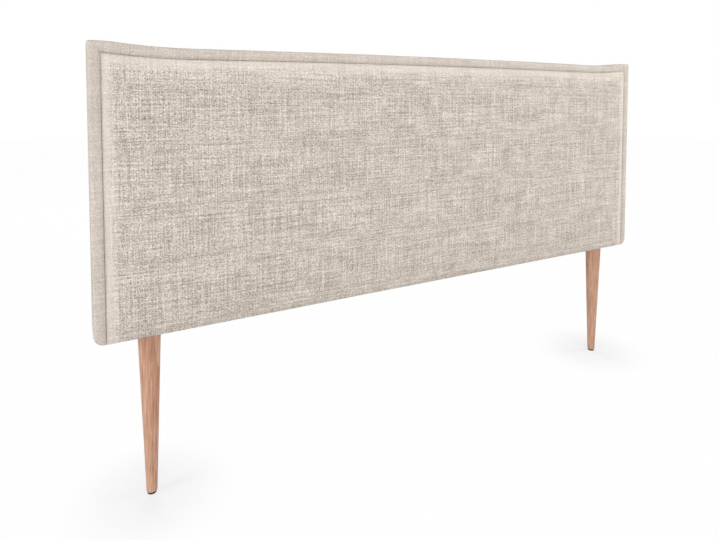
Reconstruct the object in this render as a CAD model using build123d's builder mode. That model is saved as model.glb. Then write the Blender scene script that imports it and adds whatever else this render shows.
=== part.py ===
from build123d import *
import os
from math import ceil, cos, pi, sin

os.makedirs("parts", exist_ok=True)

# Upholstered headboard for a 160 cm bed: a padded panel inside a padded border, on two tapered legs.
# Millimetres. X runs along the width, the front faces -Y, Z is up, and the floor is at Z = 0.

# Overall sizes
board_width = 1600
board_height = 600
leg_length = 350
glide_height = 5

# Shape of the board seen from the front: the top corners stand up like small ears
top_corner_radius = 4
bottom_corner_radius = 20
ear_length = 37
ear_height = 8.5
dip_from_end = 200
centre_drop = 4.8
ear_bend_share = 0.81
least_radius = 1
least_flat = 1

# Padding and covers
fabric = 1.2
layer_gap = 0.3
border_width = 23
border_pad = 13.2
border_edge_width = 9
border_edge_depth = 8
seam_gap = 0.6
seam_depth = 4
seam_roll_width = 8
panel_crown = 7
panel_roll_width = 27
panel_bottom_roll_share = 0.5
panel_corner_radius = 3
panel_corner_growth_share = 0.45
panel_swell = 1.2
panel_swell_width = 110
wadding = 4
side_pad = 3
top_pad = 3
hem_width = 35
roll_steps = 5

# Timber frame and front board
board_thickness = 9
frame_depth = 45
rail_height = 45
stile_width = 45
stile_count = 4

# Screws
frame_screw_radius = 2.5
frame_screw_length = 80
frame_screw_spread = 22
board_screw_radius = 2
board_screw_length = 35
screws_per_bay = 2
screws_per_stile = 2
hanger_screw_radius = 1.5
hanger_screw_length = 16
head_radius_share = 2
countersink_angle = 90
screw_fit = 0.1
tip_share = 1.6

# Legs and how they screw in
leg_top_radius = 23.5
leg_foot_radius = 11
leg_from_end = 107
leg_axis_depth = 42
leg_top_chamfer = 1
leg_foot_round = 1.5
bolt_radius = 4
bolt_in_leg = 35
bolt_in_rail = 28
bolt_fit = 0.1
bolt_chamfer = 0.8
bolt_tip = 6
nut_radius = 6
nut_length = 25
nut_flange_radius = 9
nut_flange_thickness = 1.5
nut_fit = 0.1
nut_hole_spare = 6
cover_hole_margin = 1

# Glides under the feet
glide_radius = 9.5
glide_edge_round = 1.5
glide_nail_radius = 1.25
glide_nail_length = 18
glide_nail_floor = 2
nail_fit = 0.1

# Back cover, staples and wall hangers
dust_cover_thickness = 0.5
dust_cover_inset = 6
staple_crown = 10
staple_wire = 1.2
staple_wire_flat = 0.6
staple_leg = 9
staple_pitch = 80
staple_edge = 10
hanger_width = 62
hanger_height = 20
hanger_thickness = 1.5
hanger_corner_radius = 4
hanger_hole_from_end = 7
hanger_edge = 1.5
hanger_window_margin = 1
keyhole_radius = 4.5
keyhole_slot_radius = 2.25
keyhole_rise = 7
keyhole_drop = 3
keyhole_pocket_margin = 1
keyhole_pocket_depth = 8

overrun = 5

# Heights
board_bottom = leg_length + glide_height
board_top = board_bottom + board_height
wood_bottom = board_bottom + fabric
wood_top = board_top - ear_height - fabric - layer_gap - top_pad
rail_top_of_bottom = wood_bottom + rail_height
rail_bottom_of_top = wood_top - rail_height

# Widths
half_board = board_width / 2
seam_half = half_board - border_width
wood_half = half_board - fabric - layer_gap - side_pad
dip_x = half_board - dip_from_end
stile_spacing = (2 * wood_half - stile_width) / (stile_count - 1)
leg_x = half_board - leg_from_end

# Depths, from the crown of the panel at the front to the back cover
total_depth = panel_crown + border_pad + board_thickness + frame_depth + fabric + dust_cover_thickness
crown_y = -total_depth / 2
border_y = crown_y + panel_crown
board_y = border_y + border_pad
frame_y = board_y + board_thickness
frame_back_y = frame_y + frame_depth
hem_y = frame_back_y + fabric
back_y = hem_y + dust_cover_thickness
frame_mid_y = (frame_y + frame_back_y) / 2
leg_y = border_y + leg_axis_depth

# Inset of each layer from the outside of the cover
foam_inset = fabric + layer_gap
panel_foam_inset = foam_inset + wadding + layer_gap


def facing_front(y):
    """Plane parallel to the wall at depth y; it faces the front and its local axes are X and Z."""
    return Plane.XZ.offset(-y)


def roll(width, depth):
    """Steps of a quarter ellipse, from the wall (no inset, full depth) to the crest."""
    angles = [step * pi / 2 / roll_steps for step in range(roll_steps + 1)]
    return [(width * (1 - cos(angle)), depth * (1 - sin(angle))) for angle in angles]


def draw_outline(half, low, top, low_radius, top_radius, flat, mode=Mode.ADD):
    """Front view of the board or of a layer of it, with the raised corners along the top."""
    ear_x = half - top_radius - flat
    bend = ((ear_x + dip_x) / 2, top - ear_height * ear_bend_share)
    with BuildLine() as outline:
        floor_corner = JernArc((half - low_radius, low), (1, 0), low_radius, 90)
        side = Line(floor_corner @ 1, (half, top - top_radius))
        top_corner = JernArc(side @ 1, (0, 1), top_radius, 90)
        shoulder = Line(top_corner @ 1, (ear_x, top))
        ThreePointArc(shoulder @ 1, bend, (dip_x, top - ear_height))
        mirror(about=Plane.YZ)
        ThreePointArc((dip_x, top - ear_height), (0, top - centre_drop), (-dip_x, top - ear_height))
        Line((low_radius - half, low), (half - low_radius, low))
    make_face(outline.line, mode=mode)


def draw_board(inset, mode=Mode.ADD):
    """The whole board, drawn in by an inset on every side."""
    top_radius = max(top_corner_radius - inset, least_radius)
    low_radius = max(bottom_corner_radius - inset, least_radius)
    flat = max(ear_length - inset - top_radius, least_flat)
    draw_outline(half_board - inset, board_bottom + inset, board_top - inset,
                 low_radius, top_radius, flat, mode)


def draw_panel(inset, rolled, mode=Mode.ADD):
    """The padded panel inside the seam; its roll is narrower along the bottom edge."""
    gathered = inset + seam_gap / 2 + rolled
    low = board_bottom + inset + rolled * panel_bottom_roll_share
    radius = panel_corner_radius + rolled * panel_corner_growth_share
    draw_outline(seam_half - gathered, low, board_top - border_width - gathered,
                 radius, radius, least_flat, mode)


def draw_seam_opening(inset, rolled):
    """The hole that the border leaves for the panel; it runs out past the bottom edge."""
    spread = inset + seam_gap / 2 + rolled
    draw_outline(seam_half + spread, board_bottom - overrun, board_top - border_width + spread,
                 least_radius, panel_corner_radius, least_flat)


def draw_wood():
    """The front board and frame: straight on top, with the two bottom corners rounded."""
    radius = bottom_corner_radius - fabric
    with BuildLine() as outline:
        Line((0, wood_bottom), (wood_half - radius, wood_bottom))
        corner = JernArc((wood_half - radius, wood_bottom), (1, 0), radius, 90)
        side = Line(corner @ 1, (wood_half, wood_top))
        Line(side @ 1, (0, wood_top))
        mirror(about=Plane.YZ)
    make_face(outline.line)


def board_block(inset, back):
    """Solid of the whole board with its rounded front edge, from the border's crest to a depth."""
    with BuildPart() as block:
        for rolled, drop in roll(border_edge_width, border_edge_depth):
            with BuildSketch(facing_front(border_y + inset + drop)):
                draw_board(inset + rolled)
        loft(ruled=True)
        with BuildSketch(facing_front(back)):
            draw_board(inset)
        extrude(amount=back - border_y - inset - border_edge_depth)
    return block.part


def seam_opening(inset):
    """Solid of the space inside the border strips, flared at the front by the seam roll."""
    with BuildPart() as opening:
        for rolled, drop in roll(seam_roll_width, seam_depth):
            with BuildSketch(facing_front(border_y + inset + drop)):
                draw_seam_opening(inset, rolled)
        loft(ruled=True)
        with BuildSketch(facing_front(border_y + inset)):
            draw_seam_opening(inset, seam_roll_width)
        extrude(amount=overrun)
        with BuildSketch(facing_front(board_y)):
            draw_seam_opening(inset, 0)
        extrude(amount=board_y - border_y - inset - seam_depth)
    return opening.part


def panel_block(inset):
    """Solid of the padded panel with rolled edges and a slight swell towards its middle."""
    with BuildPart() as block:
        for rolled, drop in roll(panel_roll_width, panel_crown + seam_depth - panel_swell):
            with BuildSketch(facing_front(crown_y + inset + panel_swell + drop)):
                draw_panel(inset, rolled)
        with BuildSketch(facing_front(crown_y + inset)):
            draw_panel(inset, panel_swell_width)
        loft(ruled=True)
        with BuildSketch(facing_front(board_y)):
            draw_panel(inset, 0)
        extrude(amount=board_y - border_y - inset - seam_depth)
    return block.part


def left_strip():
    """Space that belongs to the left border: outside the seam, mitred at the top corner."""
    far = half_board + overrun
    with BuildPart() as space:
        with BuildSketch(facing_front(back_y + overrun)):
            with BuildLine():
                Polyline((-far, board_bottom - overrun),
                         (-seam_half, board_bottom - overrun),
                         (-seam_half, board_bottom + hem_width),
                         (hem_width - half_board, board_bottom + hem_width),
                         (hem_width - half_board, board_top - hem_width),
                         (-far, board_top + overrun), close=True)
            make_face()
        extrude(amount=total_depth + 2 * overrun)
    return space.part


def top_strip():
    """Space that belongs to the top border, between the two mitres."""
    far = half_board + overrun
    with BuildPart() as space:
        with BuildSketch(facing_front(back_y + overrun)):
            with BuildLine():
                Polyline((hem_width - half_board, board_top - hem_width),
                         (half_board - hem_width, board_top - hem_width),
                         (far, board_top + overrun), (-far, board_top + overrun), close=True)
            make_face()
        extrude(amount=total_depth + 2 * overrun)
    return space.part


def bottom_strip():
    """Space under and behind the board that the panel's cover wraps into."""
    with BuildPart() as space:
        with BuildSketch(facing_front(back_y + overrun)):
            with Locations((0, board_bottom + (hem_width - overrun) / 2)):
                Rectangle(2 * seam_half, hem_width + overrun)
        extrude(amount=total_depth + 2 * overrun)
    return space.part


def wood_screw(radius, length):
    """Countersunk wood screw with its head at the origin, pointing down."""
    head = radius * head_radius_share
    with BuildPart() as screw:
        with BuildSketch(Plane.XZ):
            with BuildLine():
                Polyline((0, 0), (head, 0), (radius, radius - head),
                         (radius, radius * tip_share - length), (0, -length), close=True)
            make_face()
        revolve(axis=Axis.Z)
    return screw.part


# Planes that the fixings are set out on
facing_back = Plane(origin=(0, back_y, 0), x_dir=(-1, 0, 0), z_dir=(0, 1, 0))
frame_top = Plane(origin=(0, frame_mid_y, wood_top), x_dir=(1, 0, 0), z_dir=(0, 0, 1))
frame_underside = Plane(origin=(0, frame_mid_y, wood_bottom), x_dir=(1, 0, 0), z_dir=(0, 0, -1))
leg_underside = Plane(origin=(0, leg_y, wood_bottom), x_dir=(1, 0, 0), z_dir=(0, 0, -1))

# Where the fixings go
stile_xs = [stile_width / 2 - wood_half + stile_spacing * index for index in range(stile_count)]
frame_screw_places = [(x, side * frame_screw_spread / 2) for x in stile_xs for side in (-1, 1)]
bay_step = stile_spacing / (screws_per_bay + 1)
bay_xs = [x + bay_step * step for x in stile_xs[:-1] for step in range(1, screws_per_bay + 1)]
top_rail_screws = [(x, wood_top - rail_height / 2) for x in bay_xs]
bottom_rail_screws = [(x, wood_bottom + rail_height / 2) for x in bay_xs]
stile_length = rail_bottom_of_top - rail_top_of_bottom
stile_step = stile_length / (screws_per_stile + 1)
stile_zs = [rail_top_of_bottom + stile_step * step for step in range(1, screws_per_stile + 1)]
stile_screws = [(x, z) for x in stile_xs for z in stile_zs]
board_screw_places = top_rail_screws + bottom_rail_screws + stile_screws
leg_places = [(-leg_x, 0), (leg_x, 0)]
hanger_x = stile_xs[-1] - stile_spacing / 2
hanger_z = rail_bottom_of_top + hanger_edge + hanger_height / 2
hanger_places = [(-hanger_x, hanger_z), (hanger_x, hanger_z)]
hanger_hole_x = hanger_width / 2 - hanger_hole_from_end
hanger_hole_places = [(x + side * hanger_hole_x, z) for x, z in hanger_places for side in (-1, 1)]

# Staples: one row round the back cover
cover_half = wood_half - dust_cover_inset
cover_bottom = wood_bottom + dust_cover_inset
cover_top = wood_top - dust_cover_inset
row_half = cover_half - staple_edge
row_steps = ceil(2 * row_half / staple_pitch)
row_xs = [(step - row_steps / 2) * 2 * row_half / (row_steps + 1) for step in range(row_steps + 1)]
row_places = [(x, z) for z in (cover_bottom + staple_edge, cover_top - staple_edge) for x in row_xs]
column_length = cover_top - cover_bottom - 2 * staple_edge
column_steps = ceil(column_length / staple_pitch)
column_zs = [cover_bottom + staple_edge + column_length * (step + 1) / (column_steps + 1)
             for step in range(column_steps)]
column_places = [(x, z) for x in (-row_half, row_half) for z in column_zs]

# Staples that hold the covers and the back cover to the frame
with BuildPart() as staple:
    with BuildSketch(Plane.XZ):
        Rectangle(staple_crown, staple_leg, align=(Align.CENTER, Align.MAX))
        with Locations((0, -staple_wire_flat)):
            Rectangle(staple_crown - 2 * staple_wire_flat, staple_leg,
                      align=(Align.CENTER, Align.MAX), mode=Mode.SUBTRACT)
    extrude(amount=staple_wire / 2, both=True)

with BuildPart(facing_back) as back_staples:
    with Locations(row_places):
        add(staple.part)
    with Locations(column_places):
        add(staple.part, rotation=(0, 0, 90))
back_staples.part.label = "back_staples"
export_step(back_staples.part, "parts/back_staples.step")

# Bottom rail, with the holes for the leg nuts and bolts
with BuildPart() as bottom_rail:
    with BuildSketch(facing_front(frame_back_y)):
        draw_wood()
        with Locations((0, rail_top_of_bottom)):
            Rectangle(2 * wood_half, board_height, align=(Align.CENTER, Align.MIN), mode=Mode.SUBTRACT)
    extrude(amount=frame_depth)
    with Locations(frame_underside):
        with Locations(frame_screw_places):
            CounterSinkHole(frame_screw_radius + screw_fit,
                            frame_screw_radius * head_radius_share + screw_fit,
                            rail_height + overrun, countersink_angle)
    with Locations(facing_front(frame_y)):
        with Locations(bottom_rail_screws):
            Hole(board_screw_radius + screw_fit, board_screw_length - board_thickness)
    with Locations(leg_underside):
        with Locations(leg_places):
            CounterBoreHole(nut_radius + nut_fit, nut_flange_radius + nut_fit, nut_flange_thickness,
                            nut_length)
            Hole(bolt_radius + bolt_fit, bolt_in_rail + nut_hole_spare)
    add(back_staples.part, mode=Mode.SUBTRACT)
bottom_rail.part.label = "bottom_rail"
export_step(bottom_rail.part, "parts/bottom_rail.step")

# Top rail, with the pockets behind the keyholes of the wall hangers
with BuildPart() as top_rail:
    with BuildSketch(facing_front(frame_back_y)):
        with Locations((0, wood_top)):
            Rectangle(2 * wood_half, rail_height, align=(Align.CENTER, Align.MAX))
    extrude(amount=frame_depth)
    with Locations(frame_top):
        with Locations(frame_screw_places):
            CounterSinkHole(frame_screw_radius + screw_fit,
                            frame_screw_radius * head_radius_share + screw_fit,
                            rail_height + overrun, countersink_angle)
    with Locations(facing_front(frame_y)):
        with Locations(top_rail_screws):
            Hole(board_screw_radius + screw_fit, board_screw_length - board_thickness)
    with BuildSketch(facing_back.offset(frame_back_y - back_y)):
        with Locations([(x, z + (keyhole_rise - 2 * keyhole_drop) / 2) for x, z in hanger_places]):
            SlotCenterToCenter(keyhole_rise, 2 * (keyhole_radius + keyhole_pocket_margin), 90)
    extrude(amount=-keyhole_pocket_depth, mode=Mode.SUBTRACT)
    with Locations(facing_back.offset(frame_back_y - back_y)):
        with Locations(hanger_hole_places):
            Hole(hanger_screw_radius + screw_fit, hanger_screw_length - hanger_thickness)
    add(back_staples.part, mode=Mode.SUBTRACT)
top_rail.part.label = "top_rail"
export_step(top_rail.part, "parts/top_rail.step")

# Stiles between the two rails
stile_names = ["left_stile", "left_middle_stile", "right_middle_stile", "right_stile"]
for name, x in zip(stile_names, stile_xs):
    with BuildPart() as stile:
        with BuildSketch(facing_front(frame_back_y)):
            with Locations((x, rail_top_of_bottom)):
                Rectangle(stile_width, stile_length, align=(Align.CENTER, Align.MIN))
        extrude(amount=frame_depth)
        with Locations(frame_top.offset(-rail_height), frame_underside.offset(-rail_height)):
            with Locations((x, -frame_screw_spread / 2), (x, frame_screw_spread / 2)):
                Hole(frame_screw_radius + screw_fit, frame_screw_length - rail_height)
        with Locations(facing_front(frame_y)):
            with Locations([(x, z) for z in stile_zs]):
                Hole(board_screw_radius + screw_fit, board_screw_length - board_thickness)
        add(back_staples.part, mode=Mode.SUBTRACT)
    stile.part.label = name
    export_step(stile.part, f"parts/{name}.step")

# Long screws through the rails into the stile ends
with BuildPart(frame_top, frame_underside) as frame_screws:
    with Locations(frame_screw_places):
        add(wood_screw(frame_screw_radius, frame_screw_length))
frame_screws.part.label = "frame_screws"
export_step(frame_screws.part, "parts/frame_screws.step")

# Front board, countersunk for its screws
with BuildPart() as front_board:
    with BuildSketch(facing_front(frame_y)):
        draw_wood()
    extrude(amount=board_thickness)
    with Locations(facing_front(board_y)):
        with Locations(board_screw_places):
            CounterSinkHole(board_screw_radius + screw_fit,
                            board_screw_radius * head_radius_share + screw_fit,
                            board_thickness + overrun, countersink_angle)
front_board.part.label = "front_board"
export_step(front_board.part, "parts/front_board.step")

with BuildPart(facing_front(board_y)) as board_screws:
    with Locations(board_screw_places):
        add(wood_screw(board_screw_radius, board_screw_length))
board_screws.part.label = "board_screws"
export_step(board_screws.part, "parts/board_screws.step")

# Panel padding: a foam block under a layer of wadding
with BuildPart() as panel_foam:
    add(panel_block(panel_foam_inset))
panel_foam.part.label = "panel_foam"
export_step(panel_foam.part, "parts/panel_foam.step")

with BuildPart() as panel_wadding:
    add(panel_block(foam_inset))
    add(panel_block(foam_inset + wadding), mode=Mode.SUBTRACT)
panel_wadding.part.label = "panel_wadding"
export_step(panel_wadding.part, "parts/panel_wadding.step")

# Border foam: the front strips, which also turn over the sides and the top of the frame
with BuildPart() as border_foam:
    add(board_block(foam_inset, frame_back_y))
    add(seam_opening(foam_inset), mode=Mode.SUBTRACT)
    with BuildSketch(facing_front(frame_back_y)):
        draw_wood()
        with Locations((0, board_bottom + bottom_corner_radius)):
            Rectangle(board_width, board_height, align=(Align.CENTER, Align.MAX))
    extrude(amount=frame_depth + board_thickness, mode=Mode.SUBTRACT)

with BuildPart() as left_border_foam:
    add(border_foam.part)
    add(left_strip(), mode=Mode.INTERSECT)
left_border_foam.part.label = "left_border_foam"
export_step(left_border_foam.part, "parts/left_border_foam.step")

with BuildPart() as right_border_foam:
    mirror(left_border_foam.part, about=Plane.YZ)
right_border_foam.part.label = "right_border_foam"
export_step(right_border_foam.part, "parts/right_border_foam.step")

with BuildPart() as top_border_foam:
    add(border_foam.part)
    add(top_strip(), mode=Mode.INTERSECT)
top_border_foam.part.label = "top_border_foam"
export_step(top_border_foam.part, "parts/top_border_foam.step")

# Border cover: fabric over the border foam, down into the seam and round to a hem on the back
with BuildPart() as border_filling:
    add(board_block(fabric, frame_back_y))
    add(seam_opening(fabric), mode=Mode.SUBTRACT)

with BuildPart() as wrapped_cover:
    add(board_block(0, hem_y))
    add(seam_opening(0), mode=Mode.SUBTRACT)
    add(border_filling.part, mode=Mode.SUBTRACT)
    with BuildSketch(facing_front(hem_y + overrun)):
        with Locations((0, (board_bottom + board_top) / 2)):
            Rectangle(board_width - 2 * hem_width, board_height - 2 * hem_width)
    extrude(amount=2 * overrun, mode=Mode.SUBTRACT)

with BuildPart() as left_border_cover:
    add(wrapped_cover.part)
    add(left_strip(), mode=Mode.INTERSECT)
    add(back_staples.part, mode=Mode.SUBTRACT)
left_border_cover.part.label = "left_border_cover"
export_step(left_border_cover.part, "parts/left_border_cover.step")

with BuildPart() as right_border_cover:
    mirror(left_border_cover.part, about=Plane.YZ)
right_border_cover.part.label = "right_border_cover"
export_step(right_border_cover.part, "parts/right_border_cover.step")

with BuildPart() as top_border_cover:
    add(wrapped_cover.part)
    add(top_strip(), mode=Mode.INTERSECT)
    add(back_staples.part, mode=Mode.SUBTRACT)
top_border_cover.part.label = "top_border_cover"
export_step(top_border_cover.part, "parts/top_border_cover.step")

# Panel cover: fabric over the crowned panel, which wraps under the board to a hem on the back
with BuildPart() as bottom_wrap:
    add(wrapped_cover.part)
    add(bottom_strip(), mode=Mode.INTERSECT)
    add(back_staples.part, mode=Mode.SUBTRACT)

with BuildPart() as panel_cover:
    add(panel_block(0))
    add(panel_block(fabric), mode=Mode.SUBTRACT)
    add(bottom_wrap.part)
    with Locations(leg_underside):
        with Locations(leg_places):
            Hole(bolt_radius + cover_hole_margin, fabric)
panel_cover.part.label = "panel_cover"
export_step(panel_cover.part, "parts/panel_cover.step")

# Dust cover over the back of the frame, with a window for each wall hanger
with BuildPart() as dust_cover:
    with BuildSketch(facing_front(back_y)):
        with Locations((0, (cover_bottom + cover_top) / 2)):
            Rectangle(2 * cover_half, cover_top - cover_bottom)
        with Locations(hanger_places):
            Rectangle(hanger_width + 2 * hanger_window_margin, hanger_height + 2 * hanger_window_margin,
                      mode=Mode.SUBTRACT)
    extrude(amount=dust_cover_thickness)
    add(back_staples.part, mode=Mode.SUBTRACT)
dust_cover.part.label = "dust_cover"
export_step(dust_cover.part, "parts/dust_cover.step")

# Keyhole plates on the back of the top rail, for two screws in the wall
with BuildPart() as right_wall_hanger:
    with BuildSketch(facing_back.offset(frame_back_y - back_y)):
        with Locations((-hanger_x, hanger_z)):
            RectangleRounded(hanger_width, hanger_height, hanger_corner_radius)
        with Locations((-hanger_x, hanger_z - keyhole_drop)):
            Circle(keyhole_radius, mode=Mode.SUBTRACT)
        with Locations((-hanger_x, hanger_z - keyhole_drop + keyhole_rise / 2)):
            SlotCenterToCenter(keyhole_rise, 2 * keyhole_slot_radius, 90, mode=Mode.SUBTRACT)
    extrude(amount=hanger_thickness)
    with Locations(facing_back.offset(frame_back_y - back_y + hanger_thickness)):
        with Locations((-hanger_x - hanger_hole_x, hanger_z), (hanger_hole_x - hanger_x, hanger_z)):
            CounterSinkHole(hanger_screw_radius + screw_fit,
                            hanger_screw_radius * head_radius_share + screw_fit,
                            hanger_thickness + overrun, countersink_angle)
right_wall_hanger.part.label = "right_wall_hanger"
export_step(right_wall_hanger.part, "parts/right_wall_hanger.step")

with BuildPart() as left_wall_hanger:
    mirror(right_wall_hanger.part, about=Plane.YZ)
left_wall_hanger.part.label = "left_wall_hanger"
export_step(left_wall_hanger.part, "parts/left_wall_hanger.step")

with BuildPart(facing_back.offset(frame_back_y - back_y + hanger_thickness)) as hanger_screws:
    with Locations(hanger_hole_places):
        add(wood_screw(hanger_screw_radius, hanger_screw_length))
hanger_screws.part.label = "hanger_screws"
export_step(hanger_screws.part, "parts/hanger_screws.step")

# Threaded nuts let into the bottom rail
right_axis = Axis((leg_x, leg_y, 0), (0, 0, 1))
right_section = Plane(origin=(leg_x, leg_y, 0), x_dir=(1, 0, 0), z_dir=(0, -1, 0))

with BuildPart() as right_insert_nut:
    with BuildSketch(right_section):
        with BuildLine():
            bore = bolt_radius + bolt_fit
            nut_top = wood_bottom + nut_length
            Polyline((bore, wood_bottom), (nut_flange_radius, wood_bottom),
                     (nut_flange_radius, wood_bottom + nut_flange_thickness),
                     (nut_radius, wood_bottom + nut_flange_thickness),
                     (nut_radius, nut_top), (bore, nut_top), close=True)
        make_face()
    revolve(axis=right_axis)
right_insert_nut.part.label = "right_insert_nut"
export_step(right_insert_nut.part, "parts/right_insert_nut.step")

with BuildPart() as left_insert_nut:
    mirror(right_insert_nut.part, about=Plane.YZ)
left_insert_nut.part.label = "left_insert_nut"
export_step(left_insert_nut.part, "parts/left_insert_nut.step")

# Hanger bolts: wood thread in the leg, machine thread in the nut
with BuildPart() as right_leg_bolt:
    with BuildSketch(right_section):
        with BuildLine():
            bolt_low = board_bottom - bolt_in_leg
            bolt_high = board_bottom + bolt_in_rail
            Polyline((0, bolt_low), (bolt_radius, bolt_low + bolt_tip),
                     (bolt_radius, bolt_high - bolt_chamfer), (bolt_radius - bolt_chamfer, bolt_high),
                     (0, bolt_high), close=True)
        make_face()
    revolve(axis=right_axis)
right_leg_bolt.part.label = "right_leg_bolt"
export_step(right_leg_bolt.part, "parts/right_leg_bolt.step")

with BuildPart() as left_leg_bolt:
    mirror(right_leg_bolt.part, about=Plane.YZ)
left_leg_bolt.part.label = "left_leg_bolt"
export_step(left_leg_bolt.part, "parts/left_leg_bolt.step")

# Turned legs: a straight taper from the board down to the foot
with BuildPart() as right_leg:
    with BuildSketch(right_section):
        with BuildLine():
            Polyline((0, glide_height), (leg_foot_radius, glide_height), (leg_top_radius, board_bottom),
                     (0, board_bottom), close=True)
        make_face()
    revolve(axis=right_axis)
    fillet(right_leg.edges().filter_by(GeomType.CIRCLE).group_by(Axis.Z)[0], leg_foot_round)
    chamfer(right_leg.edges().filter_by(GeomType.CIRCLE).group_by(Axis.Z)[-1], leg_top_chamfer)
    with Locations(Plane(origin=(leg_x, leg_y, board_bottom))):
        Hole(bolt_radius + bolt_fit, bolt_in_leg + bolt_chamfer)
    with Locations(Plane(origin=(leg_x, leg_y, glide_height), z_dir=(0, 0, -1))):
        Hole(glide_nail_radius + nail_fit, glide_nail_length)
right_leg.part.label = "right_leg"
export_step(right_leg.part, "parts/right_leg.step")

with BuildPart() as left_leg:
    mirror(right_leg.part, about=Plane.YZ)
left_leg.part.label = "left_leg"
export_step(left_leg.part, "parts/left_leg.step")

# Plastic glides, each held by a nail
with BuildPart() as right_glide:
    with BuildSketch(Plane(origin=(leg_x, leg_y, 0))):
        Circle(glide_radius)
    extrude(amount=glide_height)
    fillet(right_glide.edges().group_by(Axis.Z)[0], glide_edge_round)
    with Locations(Plane(origin=(leg_x, leg_y, glide_height))):
        Hole(glide_nail_radius + nail_fit, glide_height - glide_nail_floor)
right_glide.part.label = "right_glide"
export_step(right_glide.part, "parts/right_glide.step")

with BuildPart() as left_glide:
    mirror(right_glide.part, about=Plane.YZ)
left_glide.part.label = "left_glide"
export_step(left_glide.part, "parts/left_glide.step")

with BuildPart(Plane(origin=(0, leg_y, glide_nail_floor))) as glide_nails:
    with Locations(leg_places):
        Cylinder(glide_nail_radius, glide_nail_length,
                 align=(Align.CENTER, Align.CENTER, Align.MIN))
glide_nails.part.label = "glide_nails"
export_step(glide_nails.part, "parts/glide_nails.step")
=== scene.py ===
import math

import bmesh
import bpy
import numpy as np
from bpy.props import FloatProperty, FloatVectorProperty, IntProperty, PointerProperty
from mathutils import Matrix, Vector, noise
from mathutils.bvhtree import BVHTree


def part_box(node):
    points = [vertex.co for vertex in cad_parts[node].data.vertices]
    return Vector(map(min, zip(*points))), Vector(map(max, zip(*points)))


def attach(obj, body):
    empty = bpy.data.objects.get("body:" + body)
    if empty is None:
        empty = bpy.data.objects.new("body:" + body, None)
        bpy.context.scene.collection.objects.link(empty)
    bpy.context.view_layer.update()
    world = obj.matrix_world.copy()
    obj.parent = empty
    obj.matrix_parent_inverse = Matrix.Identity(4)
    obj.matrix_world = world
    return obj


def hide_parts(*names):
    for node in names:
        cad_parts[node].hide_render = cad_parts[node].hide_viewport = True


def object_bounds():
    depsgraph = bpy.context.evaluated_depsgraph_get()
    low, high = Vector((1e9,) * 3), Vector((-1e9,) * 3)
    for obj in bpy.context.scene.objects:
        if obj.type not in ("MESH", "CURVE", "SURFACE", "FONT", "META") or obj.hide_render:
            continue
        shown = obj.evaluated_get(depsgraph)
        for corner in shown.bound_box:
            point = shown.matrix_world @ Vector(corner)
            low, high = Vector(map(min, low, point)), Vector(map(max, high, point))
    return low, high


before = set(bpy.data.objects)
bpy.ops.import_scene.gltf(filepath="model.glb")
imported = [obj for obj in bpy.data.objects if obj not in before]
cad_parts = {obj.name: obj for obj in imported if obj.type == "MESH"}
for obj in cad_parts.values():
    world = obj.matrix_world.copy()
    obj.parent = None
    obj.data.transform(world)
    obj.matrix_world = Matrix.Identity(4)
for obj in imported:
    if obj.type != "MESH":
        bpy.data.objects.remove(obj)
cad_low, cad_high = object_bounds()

bl_info = {
    "name": "Upholstered headboard",
    "version": (1, 0, 0),
    "blender": (4, 5, 0),
    "location": "3D View > Sidebar > Headboard",
    "description": "Padded headboard in melange linen cloth on two turned beech legs",
    "category": "Object",
}

# Places read from the frame
board_half = cad_high.x
board_top = cad_high.z
board_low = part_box("panel_cover")[0].z
crown_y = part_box("panel_cover")[0].y
border_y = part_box("left_border_cover")[0].y
board_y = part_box("front_board")[0].y
frame_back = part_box("top_rail")[1].y
hem_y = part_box("left_border_cover")[1].y
back_low, back_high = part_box("dust_cover")
leg_low, leg_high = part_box("right_leg")
leg_x = (leg_low.x + leg_high.x) / 2
leg_y = (leg_low.y + leg_high.y) / 2

# Front outline, as in the frame
ear_height = 0.0085
ear_length = 0.037
ear_bend_share = 0.81
dip_x = board_half - 0.2
centre_drop = 0.0048
top_corner = 0.004
low_corner = 0.020

# Layers under the covers, and the steps of their grids
layer_gap = 0.0003
board_gap = 0.0002
wadding_depth = 0.0043
side_pad = 0.003
cover_pitch = 0.012
pad_pitch = 0.03
block_pitch = 0.04
edge_steps = [0, 0.0006, 0.002, 0.0042, 0.007, 0.0105, 0.015, 0.0205, 0.027, 0.036]
low_swell_share = 0.35
least_slope_share = 0.35

# Strip of the border and its hem: starts and corners in the front view
strip_start = 0.0025
strip_bend = 0.013
seam_corner = 0.003
hem_start = 0.012
hem_corner = 0.001
strip_shares = [0, 0.02, 0.07, 0.14, 0.23, 0.34, 0.46, 0.58, 0.69, 0.79, 0.87, 0.93, 0.975, 1]

# Cloth simulation: pressure from behind and the edges that are held
pressure_behind = 4
panel_held = 0.0025
border_held = 0.003
held_depth = 0.0005
puff_start_share = 0.6
border_puff_share = 0.5

# Gathers and lumps
pucker_length = 0.011
pucker_reach = 0.007
lump_length = 0.075
small_lump_length = 0.03
small_lump_share = 0.4
lump_start = 0.03
border_gather_share = 0.5

# Tone of the cloth beside the seam: a calmer weave, a painted highlight on the panel's rounded edge and
# painted shade in the seam
calm_share = 0.65
calm_start = 0.006
calm_width = 0.026
border_calm_share = 0.62
rim_light_start = 0.012
rim_light_width = 0.036
rim_light_side_share = 1.4
shade_share = 0.5
shade_width = 0.006
border_shade_width = 0.009

# Back cover: its thickness, the windows for the wall plates, and how it lies
back_cloth_thickness = 0.0004
back_columns = 199
back_rows = 84
window_margin = 0.001
hem_reach = 0.035
hem_step = 0.02
hem_step_share = 0.2
sag_width = 0.09
slack_start = 0.05
slack_share = 0.5
crease_start = 0.01
crease_start_share = 0.3
crease_width = 0.016
crease_length = 0.15
crease_reach = 0.05
slack_width = 0.12
slack_height = 0.05
staple_pull = 0.0009
pull_reach = 0.012
pull_corner = 0.02
staple_lift = 0.0002

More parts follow.
